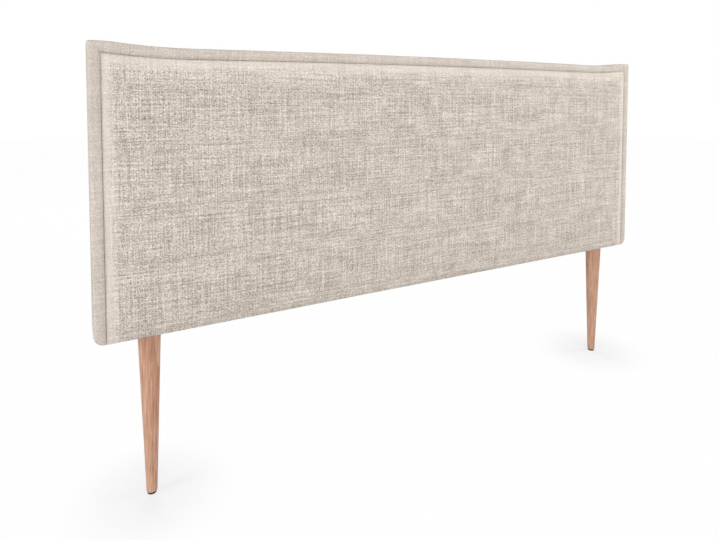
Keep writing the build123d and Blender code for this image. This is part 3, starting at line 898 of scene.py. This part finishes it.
def swept(path, section):
    """Closed tube mesh: a section of (side, up) pairs carried along a path in the XY plane."""
    made = bmesh.new()
    rings = []
    path = [Vector(p) for p in path]
    for index, point in enumerate(path):
        before, after = path[max(index - 1, 0)], path[min(index + 1, len(path) - 1)]
        ahead = (after - before).normalized()
        side = Vector((-ahead.y, ahead.x, 0))
        rings.append([made.verts.new(point + side * a + Vector((0, 0, b))) for a, b in section])
    for first, second in zip(rings, rings[1:]):
        for index in range(len(section)):
            after = (index + 1) % len(section)
            made.faces.new([first[index], first[after], second[after], second[index]])
    made.faces.new(rings[0][::-1])
    made.faces.new(rings[-1])
    bmesh.ops.recalc_face_normals(made, faces=made.faces)
    mesh = bpy.data.meshes.new("swept")
    made.to_mesh(mesh)
    made.free()
    return mesh


def staple_mesh():
    """One staple: flat wire bent twice, its crown along X and its legs towards -Y."""
    half, leg, bend = 0.0047, 0.009, 0.0009
    flat, wide, soft = 0.0003, 0.0006, 0.00012
    shoulder = -bend - flat
    path = [(-half, -leg, 0), (-half, shoulder, 0)]
    for middle, angles in ((bend - half, (150, 120, 90)), (half - bend, (90, 60, 30))):
        for angle in angles:
            path.append((middle + bend * math.cos(math.radians(angle)),
                         shoulder + bend * math.sin(math.radians(angle)), 0))
    path += [(half, shoulder, 0), (half, -leg, 0)]
    section = [(flat - soft, -wide), (flat, soft - wide), (flat, wide - soft), (flat - soft, wide),
               (soft - flat, wide), (-flat, wide - soft), (-flat, soft - wide), (soft - flat, -wide)]
    return swept(path, section)


def tree_with(name, sockets):
    """New Geometry Nodes tree with its inputs, and its ends."""
    tree = bpy.data.node_groups.new(name, "GeometryNodeTree")
    tree.interface.new_socket("Geometry", in_out="INPUT", socket_type="NodeSocketGeometry")
    for label, kind in sockets:
        tree.interface.new_socket(label, in_out="INPUT", socket_type=kind)
    tree.interface.new_socket("Geometry", in_out="OUTPUT", socket_type="NodeSocketGeometry")
    return tree, tree.nodes.new("NodeGroupInput"), tree.nodes.new("NodeGroupOutput")


def add_node(tree, kind, inputs=None, **settings):
    """Adds a node, sets it up and feeds its inputs with values or with other sockets."""
    made = tree.nodes.new(kind)
    for key, value in settings.items():
        setattr(made, key, value)
    for key, value in (inputs or {}).items():
        if isinstance(value, bpy.types.NodeSocket):
            tree.links.new(value, made.inputs[key])
        else:
            made.inputs[key].default_value = value
    return made


def sum_of(tree, operation, *values):
    """Output of a Math node."""
    return add_node(tree, "ShaderNodeMath", dict(enumerate(values)), operation=operation).outputs[0]


def vector_of(tree, x=0.0, y=0.0, z=0.0):
    """Output of a Combine XYZ node."""
    return add_node(tree, "ShaderNodeCombineXYZ", {0: x, 1: y, 2: z}).outputs[0]


def staple_tree():
    """Sets the staple out in two rows and two columns round the back cover."""
    tree, given, out = tree_with("staples round the back", [
        ("Across", "NodeSocketInt"), ("Up", "NodeSocketInt"), ("Half width", "NodeSocketFloat"),
        ("Low", "NodeSocketFloat"), ("High", "NodeSocketFloat"), ("Depth", "NodeSocketFloat"),
        ("Turn", "NodeSocketFloat"), ("Seed", "NodeSocketInt"), ("Finish", "NodeSocketMaterial")])
    take = given.outputs
    pitch = sum_of(tree, "DIVIDE", sum_of(tree, "MULTIPLY", take["Half width"], 2.0), take["Across"])
    last = sum_of(tree, "SUBTRACT", take["Across"], 1.0)
    start = sum_of(tree, "MULTIPLY", sum_of(tree, "MULTIPLY", pitch, last), -0.5)
    tall = sum_of(tree, "SUBTRACT", take["High"], take["Low"])
    step = sum_of(tree, "DIVIDE", tall, sum_of(tree, "ADD", take["Up"], 1.0))
    first = sum_of(tree, "ADD", take["Low"], step)
    back = sum_of(tree, "MULTIPLY", take["Half width"], -1.0)
    rows = [(take["Across"], vector_of(tree, start, take["Depth"], z), vector_of(tree, pitch), 0.0)
            for z in (take["Low"], take["High"])]
    rows += [(take["Up"], vector_of(tree, x, take["Depth"], first), vector_of(tree, z=step), math.pi / 2)
             for x in (back, take["Half width"])]
    join = add_node(tree, "GeometryNodeJoinGeometry")
    low_turn = sum_of(tree, "MULTIPLY", take["Turn"], -1.0)
    for number, (count, begin, offset, quarter) in enumerate(rows):
        line = add_node(tree, "GeometryNodeMeshLine",
                        {"Count": count, "Start Location": begin, "Offset": offset})
        seed = sum_of(tree, "ADD", take["Seed"], float(number))
        turn = add_node(tree, "FunctionNodeRandomValue", {"Seed": seed}, data_type="FLOAT")
        tree.links.new(low_turn, turn.inputs[2])
        tree.links.new(take["Turn"], turn.inputs[3])
        angle = vector_of(tree, y=sum_of(tree, "ADD", turn.outputs[1], quarter))
        put = add_node(tree, "GeometryNodeInstanceOnPoints",
                       {"Points": line.outputs[0], "Instance": take["Geometry"], "Rotation": angle})
        tree.links.new(put.outputs[0], join.inputs[0])
    real = add_node(tree, "GeometryNodeRealizeInstances", {"Geometry": join.outputs[0]})
    done = add_node(tree, "GeometryNodeSetMaterial",
                    {"Geometry": real.outputs[0], "Material": take["Finish"]})
    tree.links.new(done.outputs[0], out.inputs[0])
    return tree


def grow(piece, tree, values):
    """Runs a Geometry Nodes tree on the piece once and keeps the result as its mesh."""
    modifier = piece.modifiers.new(tree.name, "NODES")
    modifier.node_group = tree
    for socket in tree.interface.items_tree:
        if socket.in_out == "INPUT" and socket.name in values:
            modifier[socket.identifier] = values[socket.name]
    settle(piece)


class HEADBOARD_OT_staples(bpy.types.Operator):
    """Staples that hold the back cover and the hems under it"""

    bl_idname = "headboard.staples"
    bl_label = "Staples"

    def execute(self, context):
        back = context.scene.headboard_back
        piece = place("staples", staple_mesh())
        grow(piece, staple_tree(), {
            "Across": back.across, "Up": back.up, "Half width": back_high.x - back.margin,
            "Low": back_low.z + back.margin, "High": back_high.z - back.margin,
            "Depth": back_high.y + staple_lift, "Turn": back.turn, "Seed": back.seed, "Finish": zinc_steel()})
        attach(piece, "root")
        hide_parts("back_staples")
        return {"FINISHED"}


# Shared effects

def shader_group(name, inputs, outputs):
    """New shader node group with its sockets, and its ends."""
    tree = bpy.data.node_groups.new(name, "ShaderNodeTree")
    for label, kind, default in inputs:
        socket = tree.interface.new_socket(label, in_out="INPUT", socket_type=kind)
        if default is not None:
            socket.default_value = default
    for label, kind in outputs:
        tree.interface.new_socket(label, in_out="OUTPUT", socket_type=kind)
    return tree, tree.nodes.new("NodeGroupInput"), tree.nodes.new("NodeGroupOutput")


def blend_of(tree, share, first, second):
    """Output of a Mix node for plain numbers."""
    return add_node(tree, "ShaderNodeMix", {0: share, 2: first, 3: second}, data_type="FLOAT").outputs[0]


def noise_of(tree, vector, dimensions="3D", detail=2.0, roughness=0.5, scale=1.0):
    """Value of a Noise Texture."""
    sockets = {"Vector": vector, "Scale": scale, "Detail": detail, "Roughness": roughness}
    return add_node(tree, "ShaderNodeTexNoise", sockets, noise_dimensions=dimensions).outputs[0]


def melange_weave():
    """Plain weave of slubbed two-tone yarn: where it is light, with painted shade between the threads, a
    painted highlight on the rim and painted shade in the seam, and its relief.
    """
    if "melange weave" in bpy.data.node_groups:
        return bpy.data.node_groups["melange weave"]
    tree, given, out = shader_group("melange weave", [
        ("Threads", "NodeSocketVector", None), ("Thread", "NodeSocketFloat", 0.0011),
        ("Slub length", "NodeSocketFloat", 0.022), ("Slub width", "NodeSocketFloat", 0.0032),
        ("Contrast", "NodeSocketFloat", 2.0), ("Calm", "NodeSocketFloat", 0.0),
        ("Rim", "NodeSocketFloat", 0.0)],
        [("Tone", "NodeSocketFloat"), ("Height", "NodeSocketFloat")])
    take = given.outputs
    split = add_node(tree, "ShaderNodeSeparateXYZ", {0: take["Threads"]})
    bend = noise_of(tree, take["Threads"], "2D", 1.0, 0.5, 60.0)
    shift = sum_of(tree, "MULTIPLY", sum_of(tree, "SUBTRACT", bend, 0.5), 0.0012)
    u = sum_of(tree, "ADD", split.outputs[0], shift)
    v = sum_of(tree, "SUBTRACT", split.outputs[1], shift)
    across = sum_of(tree, "DIVIDE", u, take["Thread"])
    along = sum_of(tree, "DIVIDE", v, take["Thread"])
    cell = sum_of(tree, "ADD", sum_of(tree, "FLOOR", across), sum_of(tree, "FLOOR", along))
    on_top = sum_of(tree, "FLOORED_MODULO", cell, 2.0)

    def hump(value):
        middle = sum_of(tree, "SUBTRACT", sum_of(tree, "MULTIPLY", sum_of(tree, "FRACT", value), 2.0), 1.0)
        return sum_of(tree, "SUBTRACT", 1.0, sum_of(tree, "MULTIPLY", middle, middle))

    def slubs(thin, run, width, length, seed, detail=1.0):
        across_yarn = sum_of(tree, "DIVIDE", thin, width)
        along_yarn = sum_of(tree, "DIVIDE", run, length)
        return noise_of(tree, vector_of(tree, across_yarn, along_yarn, seed), "3D", detail, 0.5)

    wide, high = hump(across), hump(along)
    slub_width, slub_length = take["Slub width"], take["Slub length"]
    short_width = sum_of(tree, "MULTIPLY", take["Thread"], 1.7)
    short_length = sum_of(tree, "MULTIPLY", slub_length, 0.15)
    long_length = sum_of(tree, "MULTIPLY", slub_length, 5.0)
    tones, reliefs = [], []
    for run, thin, own, other, seed in ((v, u, wide, high, 3.1), (u, v, high, wide, 7.7)):
        streak = slubs(thin, run, slub_width, slub_length, seed, 2.0)
        short = slubs(thin, run, short_width, short_length, seed + 5)
        long_streak = slubs(thin, run, slub_width, long_length, seed + 2)
        tones.append(blend_of(tree, 0.47, blend_of(tree, 0.6, streak, long_streak), short))
        reliefs.append(sum_of(tree, "MULTIPLY", own, sum_of(tree, "MULTIPLY_ADD", other, 0.4, 0.6)))
    tone = blend_of(tree, on_top, tones[0], tones[1])
    relief = blend_of(tree, on_top, reliefs[0], reliefs[1])
    cloud = noise_of(tree, take["Threads"], "2D", 2.0, 0.5, 22.0)
    speck = noise_of(tree, take["Threads"], "2D", 1.0, 0.5, 330.0)
    dark = add_node(tree, "ShaderNodeMapRange", {0: speck, 1: 0.64, 2: 0.76, 3: 0.0, 4: 0.4}).outputs[0]
    centred = sum_of(tree, "SUBTRACT", tone, 0.5)
    loud = sum_of(tree, "MULTIPLY_ADD", centred, take["Contrast"], 0.55)
    clouded = sum_of(tree, "MULTIPLY_ADD", sum_of(tree, "SUBTRACT", cloud, 0.5), 0.3, loud)
    flecked = sum_of(tree, "SUBTRACT", clouded, dark)
    # Painted shade: the tone is darkened in the hollows between the threads.
    shaded = sum_of(tree, "MULTIPLY_ADD", sum_of(tree, "SUBTRACT", relief, 0.7), 0.25, flecked)
    calmed = blend_of(tree, take["Calm"], shaded, 0.6)
    # Rim paints light: a painted highlight where it is above 0 and painted shade where it is below 0.
    rim_lit_tone = sum_of(tree, "MULTIPLY_ADD", take["Rim"], 0.145, calmed)
    tree.links.new(add_node(tree, "ShaderNodeClamp", {0: rim_lit_tone}).outputs[0], out.inputs["Tone"])
    tree.links.new(sum_of(tree, "MULTIPLY_ADD", tone, 0.5, relief), out.inputs["Height"])
    return tree


def lengthwise_grain():
    """Wood grain along Z: broad rings round a far pith, fine streaks and short rays."""
    if "lengthwise grain" in bpy.data.node_groups:
        return bpy.data.node_groups["lengthwise grain"]
    tree, given, out = shader_group("lengthwise grain", [
        ("Place", "NodeSocketVector", None), ("Ring", "NodeSocketFloat", 0.004),
        ("Streak", "NodeSocketFloat", 0.0015), ("Ray", "NodeSocketFloat", 0.5)],
        [("Tone", "NodeSocketFloat"), ("Height", "NodeSocketFloat")])
    take = given.outputs
    split = add_node(tree, "ShaderNodeSeparateXYZ", {0: take["Place"]})
    x, y, z = split.outputs
    slow = vector_of(tree, sum_of(tree, "MULTIPLY", x, 9.0), sum_of(tree, "MULTIPLY", y, 9.0),
                     sum_of(tree, "MULTIPLY", z, 2.2))
    drift = sum_of(tree, "MULTIPLY", noise_of(tree, slow, "3D", 2.0), 0.03)
    squares = sum_of(tree, "ADD", sum_of(tree, "MULTIPLY", x, x), sum_of(tree, "MULTIPLY", y, y))
    reach = sum_of(tree, "SQRT", squares)
    ring = sum_of(tree, "FRACT", sum_of(tree, "DIVIDE", sum_of(tree, "ADD", reach, drift), take["Ring"]))
    late = sum_of(tree, "POWER", ring, 2.5)
    fine = vector_of(tree, sum_of(tree, "DIVIDE", x, take["Streak"]),
                     sum_of(tree, "DIVIDE", y, take["Streak"]), sum_of(tree, "MULTIPLY", z, 14.0))
    streak = noise_of(tree, fine, "3D", 3.0, 0.6)
    short = vector_of(tree, sum_of(tree, "MULTIPLY", x, 1100.0), sum_of(tree, "MULTIPLY", y, 1100.0),
                      sum_of(tree, "MULTIPLY", z, 260.0))
    ray = add_node(tree, "ShaderNodeMapRange",
                   {0: noise_of(tree, short, "3D", 1.0), 1: 0.62, 2: 0.7, 3: 0.0, 4: 1.0}).outputs[0]
    flecks = sum_of(tree, "MULTIPLY", ray, take["Ray"])
    base = sum_of(tree, "MULTIPLY_ADD", sum_of(tree, "SUBTRACT", streak, 0.5), 2.2, 0.6)
    ringed = sum_of(tree, "MULTIPLY_ADD", late, -0.45, base)
    tone = sum_of(tree, "SUBTRACT", ringed, flecks)
    tree.links.new(add_node(tree, "ShaderNodeClamp", {0: tone}).outputs[0], out.inputs["Tone"])
    tree.links.new(sum_of(tree, "SUBTRACT", streak, flecks), out.inputs["Height"])
    return tree


# Materials

def new_finish(name, **constants):
    """Principled material with plain numbers on its own sockets."""
    finish = bpy.data.materials.new(name)
    finish.use_nodes = True
    shader = finish.node_tree.nodes["Principled BSDF"]
    for label, value in constants.items():
        shader.inputs[label.replace("_", " ")].default_value = value
    return finish, finish.node_tree, shader


def two_tone(tree, shader, tone, dark, light):
    """Colour between two swatches by a tone."""
    mix = add_node(tree, "ShaderNodeMix", {0: tone, 6: dark, 7: light}, data_type="RGBA")
    tree.links.new(mix.outputs[2], shader.inputs["Base Color"])


def relief(tree, shader, height, distance, strength=1.0):
    """Bump from a height."""
    bump = add_node(tree, "ShaderNodeBump", {"Height": height, "Distance": distance, "Strength": strength})
    tree.links.new(bump.outputs[0], shader.inputs["Normal"])


def melange_cloth():
    """Beige and grey melange linen-look cloth."""
    if "melange cloth" in bpy.data.materials:
        return bpy.data.materials["melange cloth"]
    finish = bpy.context.scene.headboard_finish
    made, tree, shader = new_finish("melange cloth", Sheen_Weight=0.12, Sheen_Roughness=0.5)
    threads = add_node(tree, "ShaderNodeUVMap", uv_map="threads")
    weave = add_node(tree, "ShaderNodeGroup", node_tree=melange_weave())
    for label, value in (("Thread", finish.thread), ("Slub length", finish.slub_length),
                         ("Slub width", finish.slub_width), ("Contrast", 4.9)):
        weave.inputs[label].default_value = value
    tree.links.new(threads.outputs[0], weave.inputs["Threads"])
    # Rim carries the painted highlight on the panel's edge and the painted shade beside the seam.
    for label in ("Calm", "Rim"):
        told = add_node(tree, "ShaderNodeAttribute", attribute_name=label.lower())
        tree.links.new(told.outputs["Fac"], weave.inputs[label])
    two_tone(tree, shader, weave.outputs["Tone"], finish.dark_thread, finish.light_thread)
    rough = add_node(tree, "ShaderNodeMapRange", {0: weave.outputs["Tone"], 3: 0.95, 4: 0.82})
    tree.links.new(rough.outputs[0], shader.inputs["Roughness"])
    relief(tree, shader, weave.outputs["Height"], 0.00035, 0.7)
    return made


def grained(name, centre, turned, light, dark, ring, streak, ray, **constants):
    """Wood with its grain along the piece; centre is the pith and turned lays the grain along X."""
    if name in bpy.data.materials:
        return bpy.data.materials[name]
    made, tree, shader = new_finish(name, **constants)
    coordinates = add_node(tree, "ShaderNodeTexCoord")
    mapping = add_node(tree, "ShaderNodeMapping", {"Vector": coordinates.outputs["Object"]},
                       vector_type="POINT")
    turn = (0, -math.pi / 2, 0) if turned else (0, 0, 0)
    mapping.inputs["Rotation"].default_value = turn
    mapping.inputs["Location"].default_value = centre
    grain = add_node(tree, "ShaderNodeGroup", node_tree=lengthwise_grain())
    for label, value in (("Ring", ring), ("Streak", streak), ("Ray", ray)):
        grain.inputs[label].default_value = value
    tree.links.new(mapping.outputs[0], grain.inputs["Place"])
    two_tone(tree, shader, grain.outputs["Tone"], dark, light)
    rough = add_node(tree, "ShaderNodeMapRange", {0: grain.outputs["Tone"], 3: 0.55, 4: 0.42})
    tree.links.new(rough.outputs[0], shader.inputs["Roughness"])
    relief(tree, shader, grain.outputs["Height"], 0.00015, 0.5)
    return made


def speckled(name, light, dark, size, distance, **constants):
    """Matt stuff with a fine even speckle and relief."""
    if name in bpy.data.materials:
        return bpy.data.materials[name]
    made, tree, shader = new_finish(name, **constants)
    coordinates = add_node(tree, "ShaderNodeTexCoord")
    grit = noise_of(tree, coordinates.outputs["Object"], "3D", 4.0, 0.7, 1 / size)
    wide = add_node(tree, "ShaderNodeMapRange", {0: grit, 1: 0.3, 2: 0.7})
    two_tone(tree, shader, wide.outputs[0], dark, light)
    rough = add_node(tree, "ShaderNodeMapRange", {0: grit, 3: shader.inputs["Roughness"].default_value - 0.08,
                                                  4: shader.inputs["Roughness"].default_value + 0.08})
    tree.links.new(rough.outputs[0], shader.inputs["Roughness"])
    relief(tree, shader, grit, distance, 0.6)
    return made


def open_foam():
    """Pale yellow open-cell foam."""
    return speckled("open foam", linear(238, 230, 190), linear(214, 203, 156),
                    size=0.0012, distance=0.0006, Roughness=0.9)


def wadding_fibre():
    """White fibre wadding."""
    return speckled("wadding fibre", linear(246, 246, 243), linear(226, 226, 222),
                    size=0.004, distance=0.001, Roughness=0.9)


def zinc_steel():
    """Zinc-plated steel with a faint spangle."""
    return speckled("zinc steel", linear(205, 205, 202), linear(166, 167, 168),
                    size=0.003, distance=0.00002, Metallic=1.0, Roughness=0.38)


def non_woven():
    """Thin black non-woven cloth with its grid of small bonding dots."""
    if "non woven" in bpy.data.materials:
        return bpy.data.materials["non woven"]
    made, tree, shader = new_finish("non woven", Roughness=0.88, Sheen_Weight=0.1)
    threads = add_node(tree, "ShaderNodeUVMap", uv_map="threads")
    fibre = noise_of(tree, threads.outputs[0], "2D", 4.0, 0.75, 420.0)
    cloud = noise_of(tree, threads.outputs[0], "2D", 2.0, 0.5, 60.0)
    dots = add_node(tree, "ShaderNodeTexVoronoi",
                    {"Vector": threads.outputs[0], "Scale": 480.0, "Randomness": 0.15},
                    voronoi_dimensions="2D")
    dot = add_node(tree, "ShaderNodeMapRange", {0: dots.outputs["Distance"], 1: 0.12, 2: 0.3})
    tone = sum_of(tree, "MULTIPLY_ADD", cloud, 0.5, sum_of(tree, "MULTIPLY", fibre, 0.5))
    two_tone(tree, shader, tone, linear(27, 27, 29), linear(62, 62, 65))
    relief(tree, shader, sum_of(tree, "MULTIPLY_ADD", dot.outputs[0], 0.7, fibre), 0.00012, 0.6)
    return made


class HEADBOARD_OT_timber(bpy.types.Operator):
    """Bare pine on the rails and stiles, and fibreboard on the front board"""

    bl_idname = "headboard.timber"
    bl_label = "Timber frame"

    def execute(self, context):
        finish = context.scene.headboard_finish
        light, dark = finish.light_pine, finish.dark_pine
        rail = grained("pine rail", (0.09, 0.03, 0), True, light, dark,
                       ring=0.006, streak=0.002, ray=0.1, Roughness=0.6)
        stile = grained("pine stile", (0.11, 0.04, 0), False, light, dark,
                        ring=0.006, streak=0.002, ray=0.1, Roughness=0.6)
        board = speckled("fibreboard", linear(178, 142, 104), linear(142, 108, 76),
                         size=0.0015, distance=0.0002, Roughness=0.8)
        wear(rail, "bottom_rail", "top_rail")
        wear(stile, "left_stile", "left_middle_stile", "right_middle_stile", "right_stile")
        wear(board, "front_board")
        return {"FINISHED"}


def wear(finish, *nodes):
    """Puts a finish in the slots of CAD nodes."""
    for name in nodes:
        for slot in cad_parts[name].material_slots:
            slot.material = finish


class HEADBOARD_OT_legs(bpy.types.Operator):
    """Beech legs with their black glides"""

    bl_idname = "headboard.legs"
    bl_label = "Legs"

    def execute(self, context):
        finish = context.scene.headboard_finish
        # The piths are placed per leg so that the broad rings come out lighter down the middle and darker on
        # the flanks: beech grain, and also painted shade of the round leg.
        for side, name, flank_shade_pith_x, flank_shade_pith_y in ((-1, "left", 0.035, -0.018), (1, "right", 0.024, -0.031)):
            pith = (flank_shade_pith_x - side * leg_x, flank_shade_pith_y - leg_y, 0.3 * side)
            beech = grained(f"beech {name} leg", pith, False, finish.light_beech, finish.dark_beech,
                            ring=0.038, streak=0.0026, ray=0.22, Roughness=0.45)
            wear(beech, f"{name}_leg")
        plastic = speckled("black plastic", linear(30, 27, 25), linear(20, 18, 17),
                           size=0.0006, distance=0.00003, Roughness=0.5)
        wear(plastic, "left_glide", "right_glide")
        return {"FINISHED"}


class HEADBOARD_OT_hardware(bpy.types.Operator):
    """Zinc finish on screws, nuts, bolts, nails and wall plates"""

    bl_idname = "headboard.hardware"
    bl_label = "Hardware"

    def execute(self, context):
        names = ["frame_screws", "board_screws", "hanger_screws", "glide_nails"]
        for side in ("left", "right"):
            names += [f"{side}_insert_nut", f"{side}_leg_bolt", f"{side}_wall_hanger"]
        wear(zinc_steel(), *names)
        return {"FINISHED"}


class HEADBOARD_OT_stage(bpy.types.Operator):
    """Camera, soft lamps, pale floor and white surroundings"""

    bl_idname = "headboard.stage"
    bl_label = "Stage"

    def execute(self, context):
        stage = context.scene.headboard_stage
        scene = context.scene
        scene.view_settings.view_transform = "Standard"
        view = bpy.data.cameras.new("camera")
        view.sensor_width = 36
        view.lens = stage.lens
        view.shift_y = -stage.rise
        camera = bpy.data.objects.new("camera", view)
        camera.location = camera_place
        camera.rotation_euler = (math.radians(90 - camera_tilt), 0, math.radians(-camera_turn))
        scene.collection.objects.link(camera)
        scene.camera = camera

        add_lamp("front lamp", (-1.1, -4.6, 1.9), (0, 0, 0.6), 2.8, 2.0, stage.key)
        add_lamp("left lamp", (-4.8, -0.5, 1.9), (0, 0, 0.7), 1.2, 2.4, stage.left)
        add_lamp("right lamp", (2.6, -0.9, 1.3), (0.4, 0, 0.7), 0.9, 1.8, stage.right)
        add_lamp("top lamp", (0.2, -1.3, 2.6), (0, 0, 0.7), 2.6, 0.8, stage.top)
        add_lamp("back lamp", (0, 4.0, 2.0), (0, 0, 0.5), 3.0, 1.6, stage.back)

        disc = bmesh.new()
        bmesh.ops.create_circle(disc, cap_ends=True, segments=96, radius=floor_radius)
        mesh = bpy.data.meshes.new("floor")
        disc.to_mesh(mesh)
        disc.free()
        mesh.transform(Matrix.Translation((0, 0, -floor_drop)))
        floor = place("floor", mesh)
        mesh.materials.append(pale_floor())
        scene.world = white_world(stage.ambient)
        return {"FINISHED"}


def add_lamp(name, at, towards, wide, tall, power):
    """Rectangular soft lamp aimed at a point."""
    light = bpy.data.lights.new(name, "AREA")
    light.shape = "RECTANGLE"
    light.size, light.size_y = wide, tall
    light.energy = power
    lamp = bpy.data.objects.new(name, light)
    lamp.location = at
    lamp.rotation_euler = (Vector(towards) - Vector(at)).to_track_quat("-Z", "Y").to_euler()
    bpy.context.scene.collection.objects.link(lamp)


def seen_directly(tree):
    """1 for what the camera sees, straight or in metal and glass."""
    rays = add_node(tree, "ShaderNodeLightPath")
    glossy = sum_of(tree, "MAXIMUM", rays.outputs["Is Glossy Ray"], rays.outputs["Is Transmission Ray"])
    return sum_of(tree, "MAXIMUM", rays.outputs["Is Camera Ray"], glossy)


def pale_floor():
    """Pale floor that is white to the camera and keeps a soft shadow near the object."""
    made = bpy.data.materials.new("pale floor")
    made.use_nodes = True
    tree = made.node_tree
    tree.nodes.clear()
    matt = add_node(tree, "ShaderNodeBsdfDiffuse", {"Color": (floor_grey, floor_grey, floor_grey, 1)})
    glow = add_node(tree, "ShaderNodeEmission", {"Color": (1, 1, 1, 1), "Strength": 1.0})
    coordinates = add_node(tree, "ShaderNodeTexCoord")
    away = []
    for side in (-1, 1):
        span = add_node(tree, "ShaderNodeVectorMath",
                        {0: coordinates.outputs["Object"], 1: (side * leg_x, leg_y, 0)},
                        operation="DISTANCE")
        away.append(span.outputs["Value"])
    nearest = sum_of(tree, "MINIMUM", *away)
    share = add_node(tree, "ShaderNodeMapRange",
                     {0: nearest, 1: shadow_near, 2: shadow_far, 3: white_near_share, 4: white_far_share},
                     interpolation_type="SMOOTHSTEP")
    mix = add_node(tree, "ShaderNodeMixShader",
                   {0: sum_of(tree, "MULTIPLY", seen_directly(tree), share.outputs[0]),
                    1: matt.outputs[0], 2: glow.outputs[0]})
    out = add_node(tree, "ShaderNodeOutputMaterial")
    tree.links.new(mix.outputs[0], out.inputs[0])
    return made


def white_world(ambient):
    """White to the camera, softer as a light."""
    world = bpy.data.worlds.new("surroundings")
    world.use_nodes = True
    tree = world.node_tree
    tree.nodes.clear()
    soft = add_node(tree, "ShaderNodeBackground", {"Color": (1, 1, 1, 1), "Strength": ambient})
    white = add_node(tree, "ShaderNodeBackground", {"Color": (1, 1, 1, 1), "Strength": 1.0})
    mix = add_node(tree, "ShaderNodeMixShader",
                   {0: seen_directly(tree), 1: soft.outputs[0], 2: white.outputs[0]})
    out = add_node(tree, "ShaderNodeOutputWorld")
    tree.links.new(mix.outputs[0], out.inputs[0])
    return world


class HEADBOARD_PT_sidebar(bpy.types.Panel):
    """Headboard's pieces and sizes"""

    bl_idname = "HEADBOARD_PT_sidebar"
    bl_label = "Headboard"
    bl_space_type = "VIEW_3D"
    bl_region_type = "UI"
    bl_category = "Headboard"

    def draw(self, context):
        for made in operators:
            self.layout.operator(made.bl_idname)
        for name in groups:
            settings = getattr(context.scene, name)
            for label in settings.__annotations__:
                self.layout.prop(settings, label)


operators = [HEADBOARD_OT_stage, HEADBOARD_OT_panel, HEADBOARD_OT_border, HEADBOARD_OT_back_cover,
             HEADBOARD_OT_staples, HEADBOARD_OT_timber, HEADBOARD_OT_legs, HEADBOARD_OT_hardware]
groups = {"headboard_padding": HeadboardPadding, "headboard_finish": HeadboardFinish,
          "headboard_back": HeadboardBack, "headboard_stage": HeadboardStage}


def register():
    """Makes the settings, operators and sidebar panel known to Blender."""
    for name, group in groups.items():
        bpy.utils.register_class(group)
        setattr(bpy.types.Scene, name, PointerProperty(type=group))
    for made in operators + [HEADBOARD_PT_sidebar]:
        bpy.utils.register_class(made)


def unregister():
    """Takes them away again."""
    for made in operators + [HEADBOARD_PT_sidebar]:
        bpy.utils.unregister_class(made)
    for name, group in groups.items():
        delattr(bpy.types.Scene, name)
        bpy.utils.unregister_class(group)


def main():
    """Builds the headboard on its stage."""
    register()
    bpy.ops.headboard.stage()
    bpy.ops.headboard.panel()
    bpy.ops.headboard.border()
    bpy.ops.headboard.back_cover()
    bpy.ops.headboard.staples()
    bpy.ops.headboard.timber()
    bpy.ops.headboard.legs()
    bpy.ops.headboard.hardware()


if __name__ == "__main__":
    main()
